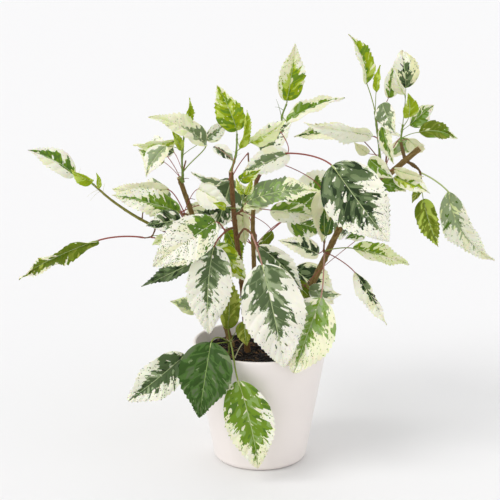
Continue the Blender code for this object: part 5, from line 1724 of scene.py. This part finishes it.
def soil_height(x, y):
    """Height of the bed: wide swells of 3 mm and lumps of 1.6 mm, with no swells at the pot's wall."""
    swell = value_noise(x / SWELL_SIZE + 10, y / SWELL_SIZE + 10, 3) - 0.5
    lump = value_noise(x / LUMP_SIZE + 50, y / LUMP_SIZE + 50, 4) - 0.5
    off_wall = 1 - smoothstep(*FLAT_RIM, np.hypot(x, y))
    return SOIL_TOP + SWELL_HEIGHT * swell * off_wall + LUMP_HEIGHT * lump


def bed_part():
    """Closed bed of soil: underside, side along the pot's wall and the bumpy top."""
    side_z = np.array((BED_LOW, 0.06, SOIL_TOP - 0.002))
    side_r = wall_radius(side_z) - WALL - SOIL_GAP
    top_r = np.linspace(wall_radius(SOIL_TOP) - WALL - SOIL_GAP, BED_POLE, BED_RINGS)
    radius = np.concatenate([[BED_POLE, 0.02], side_r, top_r])
    height = np.concatenate([[BED_LOW, BED_LOW], side_z, np.full(BED_RINGS, SOIL_TOP)])
    points = turned_points(np.stack([radius, height], -1), SOIL_SIDES)
    top = points[-BED_RINGS:]
    top[..., 2] = soil_height(top[..., 0], top[..., 1])
    quads = tube_faces(len(radius), SOIL_SIDES)
    tones = np.random.default_rng(8).choice(["peat", "peat", "crumb"], len(quads)).astype(object)
    return points.reshape(-1, 3), quads, tones


print("the bed has", BED_RINGS * SOIL_SIDES, "places on its top")

# %% Crumbs and fibres
CRUMBS, FIBRES = 2600, 80
STREWN_RADIUS = 0.0595
CRUMB_SIZES = (0.0005, 0.0017)
CRUMB_LIFT = 0.0003
FIBRE_SPREAD = 0.05
FIBRE_LENGTHS = (0.004, 0.012)
FIBRE_RADII = (0.00015, 0.0004)
FIBRE_LIFT, FIBRE_BEND = 0.0011, 0.0012
BLOCK = np.array([(x, y, z) for z in (-1, 1) for y in (-1, 1) for x in (-1, 1)], dtype=float)
BLOCK_FACES = np.array([(0, 2, 3, 1), (4, 5, 7, 6), (0, 1, 5, 4), (2, 6, 7, 3), (0, 4, 6, 2), (1, 3, 7, 5)])
CRUMB_SHARES = {"peat": 0.3, "crumb": 0.45, "brown": 0.2, "tan": 0.05}


def crumb_part(count, seed):
    """Strewn crumbs: blocks of eight corners, each stretched, turned and with its corners moved at random."""
    rng = np.random.default_rng(seed)
    radius = STREWN_RADIUS * np.sqrt(rng.random(count))
    angle = rng.uniform(0, 2 * np.pi, count)
    x, y = radius * np.cos(angle), radius * np.sin(angle)
    size = rng.uniform(*CRUMB_SIZES, (count, 1, 1)) * rng.uniform(0.6, 1.0, (count, 1, 3))
    body = BLOCK * size * rng.uniform(0.6, 1.25, (count, 8, 3))
    turn = rng.uniform(0, 2 * np.pi, count)[:, None]
    turned = np.stack([body[..., 0] * np.cos(turn) - body[..., 1] * np.sin(turn),
                       body[..., 0] * np.sin(turn) + body[..., 1] * np.cos(turn), body[..., 2]], -1)
    places = np.stack([x, y, soil_height(x, y) + CRUMB_LIFT], -1)
    quads = BLOCK_FACES + 8 * np.arange(count)[:, None, None]
    tones = rng.choice(list(CRUMB_SHARES), count, p=list(CRUMB_SHARES.values()))
    points = (places[:, None] + turned).reshape(-1, 3)
    return points, quads.reshape(-1, 4), np.repeat(tones, len(BLOCK_FACES)).astype(object)


def fibre_part(seed):
    """One tan or straw-coloured fibre: a thin bent tube that lies on the bed, lifted in its middle."""
    rng = np.random.default_rng(seed)
    start = FIBRE_SPREAD * np.sqrt(rng.random())
    angle, heading = rng.uniform(0, 6.28, 2)
    s = np.linspace(0, rng.uniform(*FIBRE_LENGTHS), 6)
    x = start * math.cos(angle) + s * np.cos(heading + 60 * s)
    y = start * math.sin(angle) + s * np.sin(heading + 60 * s)
    bend = FIBRE_BEND * rng.random() * np.sin(s / s[-1] * np.pi)
    path = np.stack([x, y, soil_height(x, y) + FIBRE_LIFT + bend], -1)
    tone = "straw" if rng.random() < 0.4 else "tan"
    return tube_part(path, np.full(len(s), rng.uniform(*FIBRE_RADII)), 4, tone)


parts = [bed_part(), crumb_part(CRUMBS, 12)] + [fibre_part(seed) for seed in range(FIBRES)]
soil_piece = piece_from("soil_bed", parts, soil_materials)
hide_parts("soil")

# %% [markdown]
# ## Floor and light
#
# The plant stands on a plain pale floor in even daylight: one large soft lamp high on the left, a
# weaker one on the right, one from behind that shines through the leaves, and a bright sky all round,
# so shadows stay light. The floor is so wide that its far edge stays out of a low view.

# %% Floor
FLOOR_HALF = 200.0
floor_mesh = bpy.data.meshes.new("floor")
corners = [(FLOOR_HALF * x, FLOOR_HALF * y, 0) for x, y in ((-1, -1), (1, -1), (1, 1), (-1, 1))]
floor_mesh.from_pydata(corners, [], [(0, 1, 2, 3)])
floor_mesh.materials.append(principled("floor", Base_Color=linear("edeceb"), Roughness=0.85)[0])
floor = in_scene("floor", floor_mesh)
floor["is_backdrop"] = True
print("floor", 2 * FLOOR_HALF, "m wide")

# %% Light
def soft_sun(name, towards_x, towards_y, height, strength, softness):
    """Sun that shines from the named direction; softness is its angular width in degrees."""
    sun = in_scene(name, bpy.data.lights.new(name, "SUN"))
    sun.data.energy = strength
    sun.data.angle = math.radians(softness)
    sun.rotation_euler = (-Vector((towards_x, towards_y, height))).to_track_quat("-Z", "Y").to_euler()


soft_sun("key", -1.3, -0.8, 1.4, strength=1.45, softness=36)
soft_sun("fill", 1.2, -0.9, 0.7, strength=0.35, softness=70)
soft_sun("back", 0.3, 1.0, 0.8, strength=0.5, softness=80)
world = bpy.data.worlds.new("daylight")
bpy.context.scene.world = world
world.use_nodes = True
set_inputs(world.node_tree.nodes["Background"], Color=linear("f7f8fb"), Strength=0.72)
bpy.context.scene.view_settings.view_transform = "Standard"
print("lamps:", len(bpy.data.lights))

# %% Measure the visual box and finish
visual_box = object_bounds()
sizes = {"solids": [list(map(float, corner)) for corner in solids_box],
         "visual": [list(map(float, corner)) for corner in visual_box]}
print("visual box", [[round(v, 4) for v in corner] for corner in sizes["visual"]])
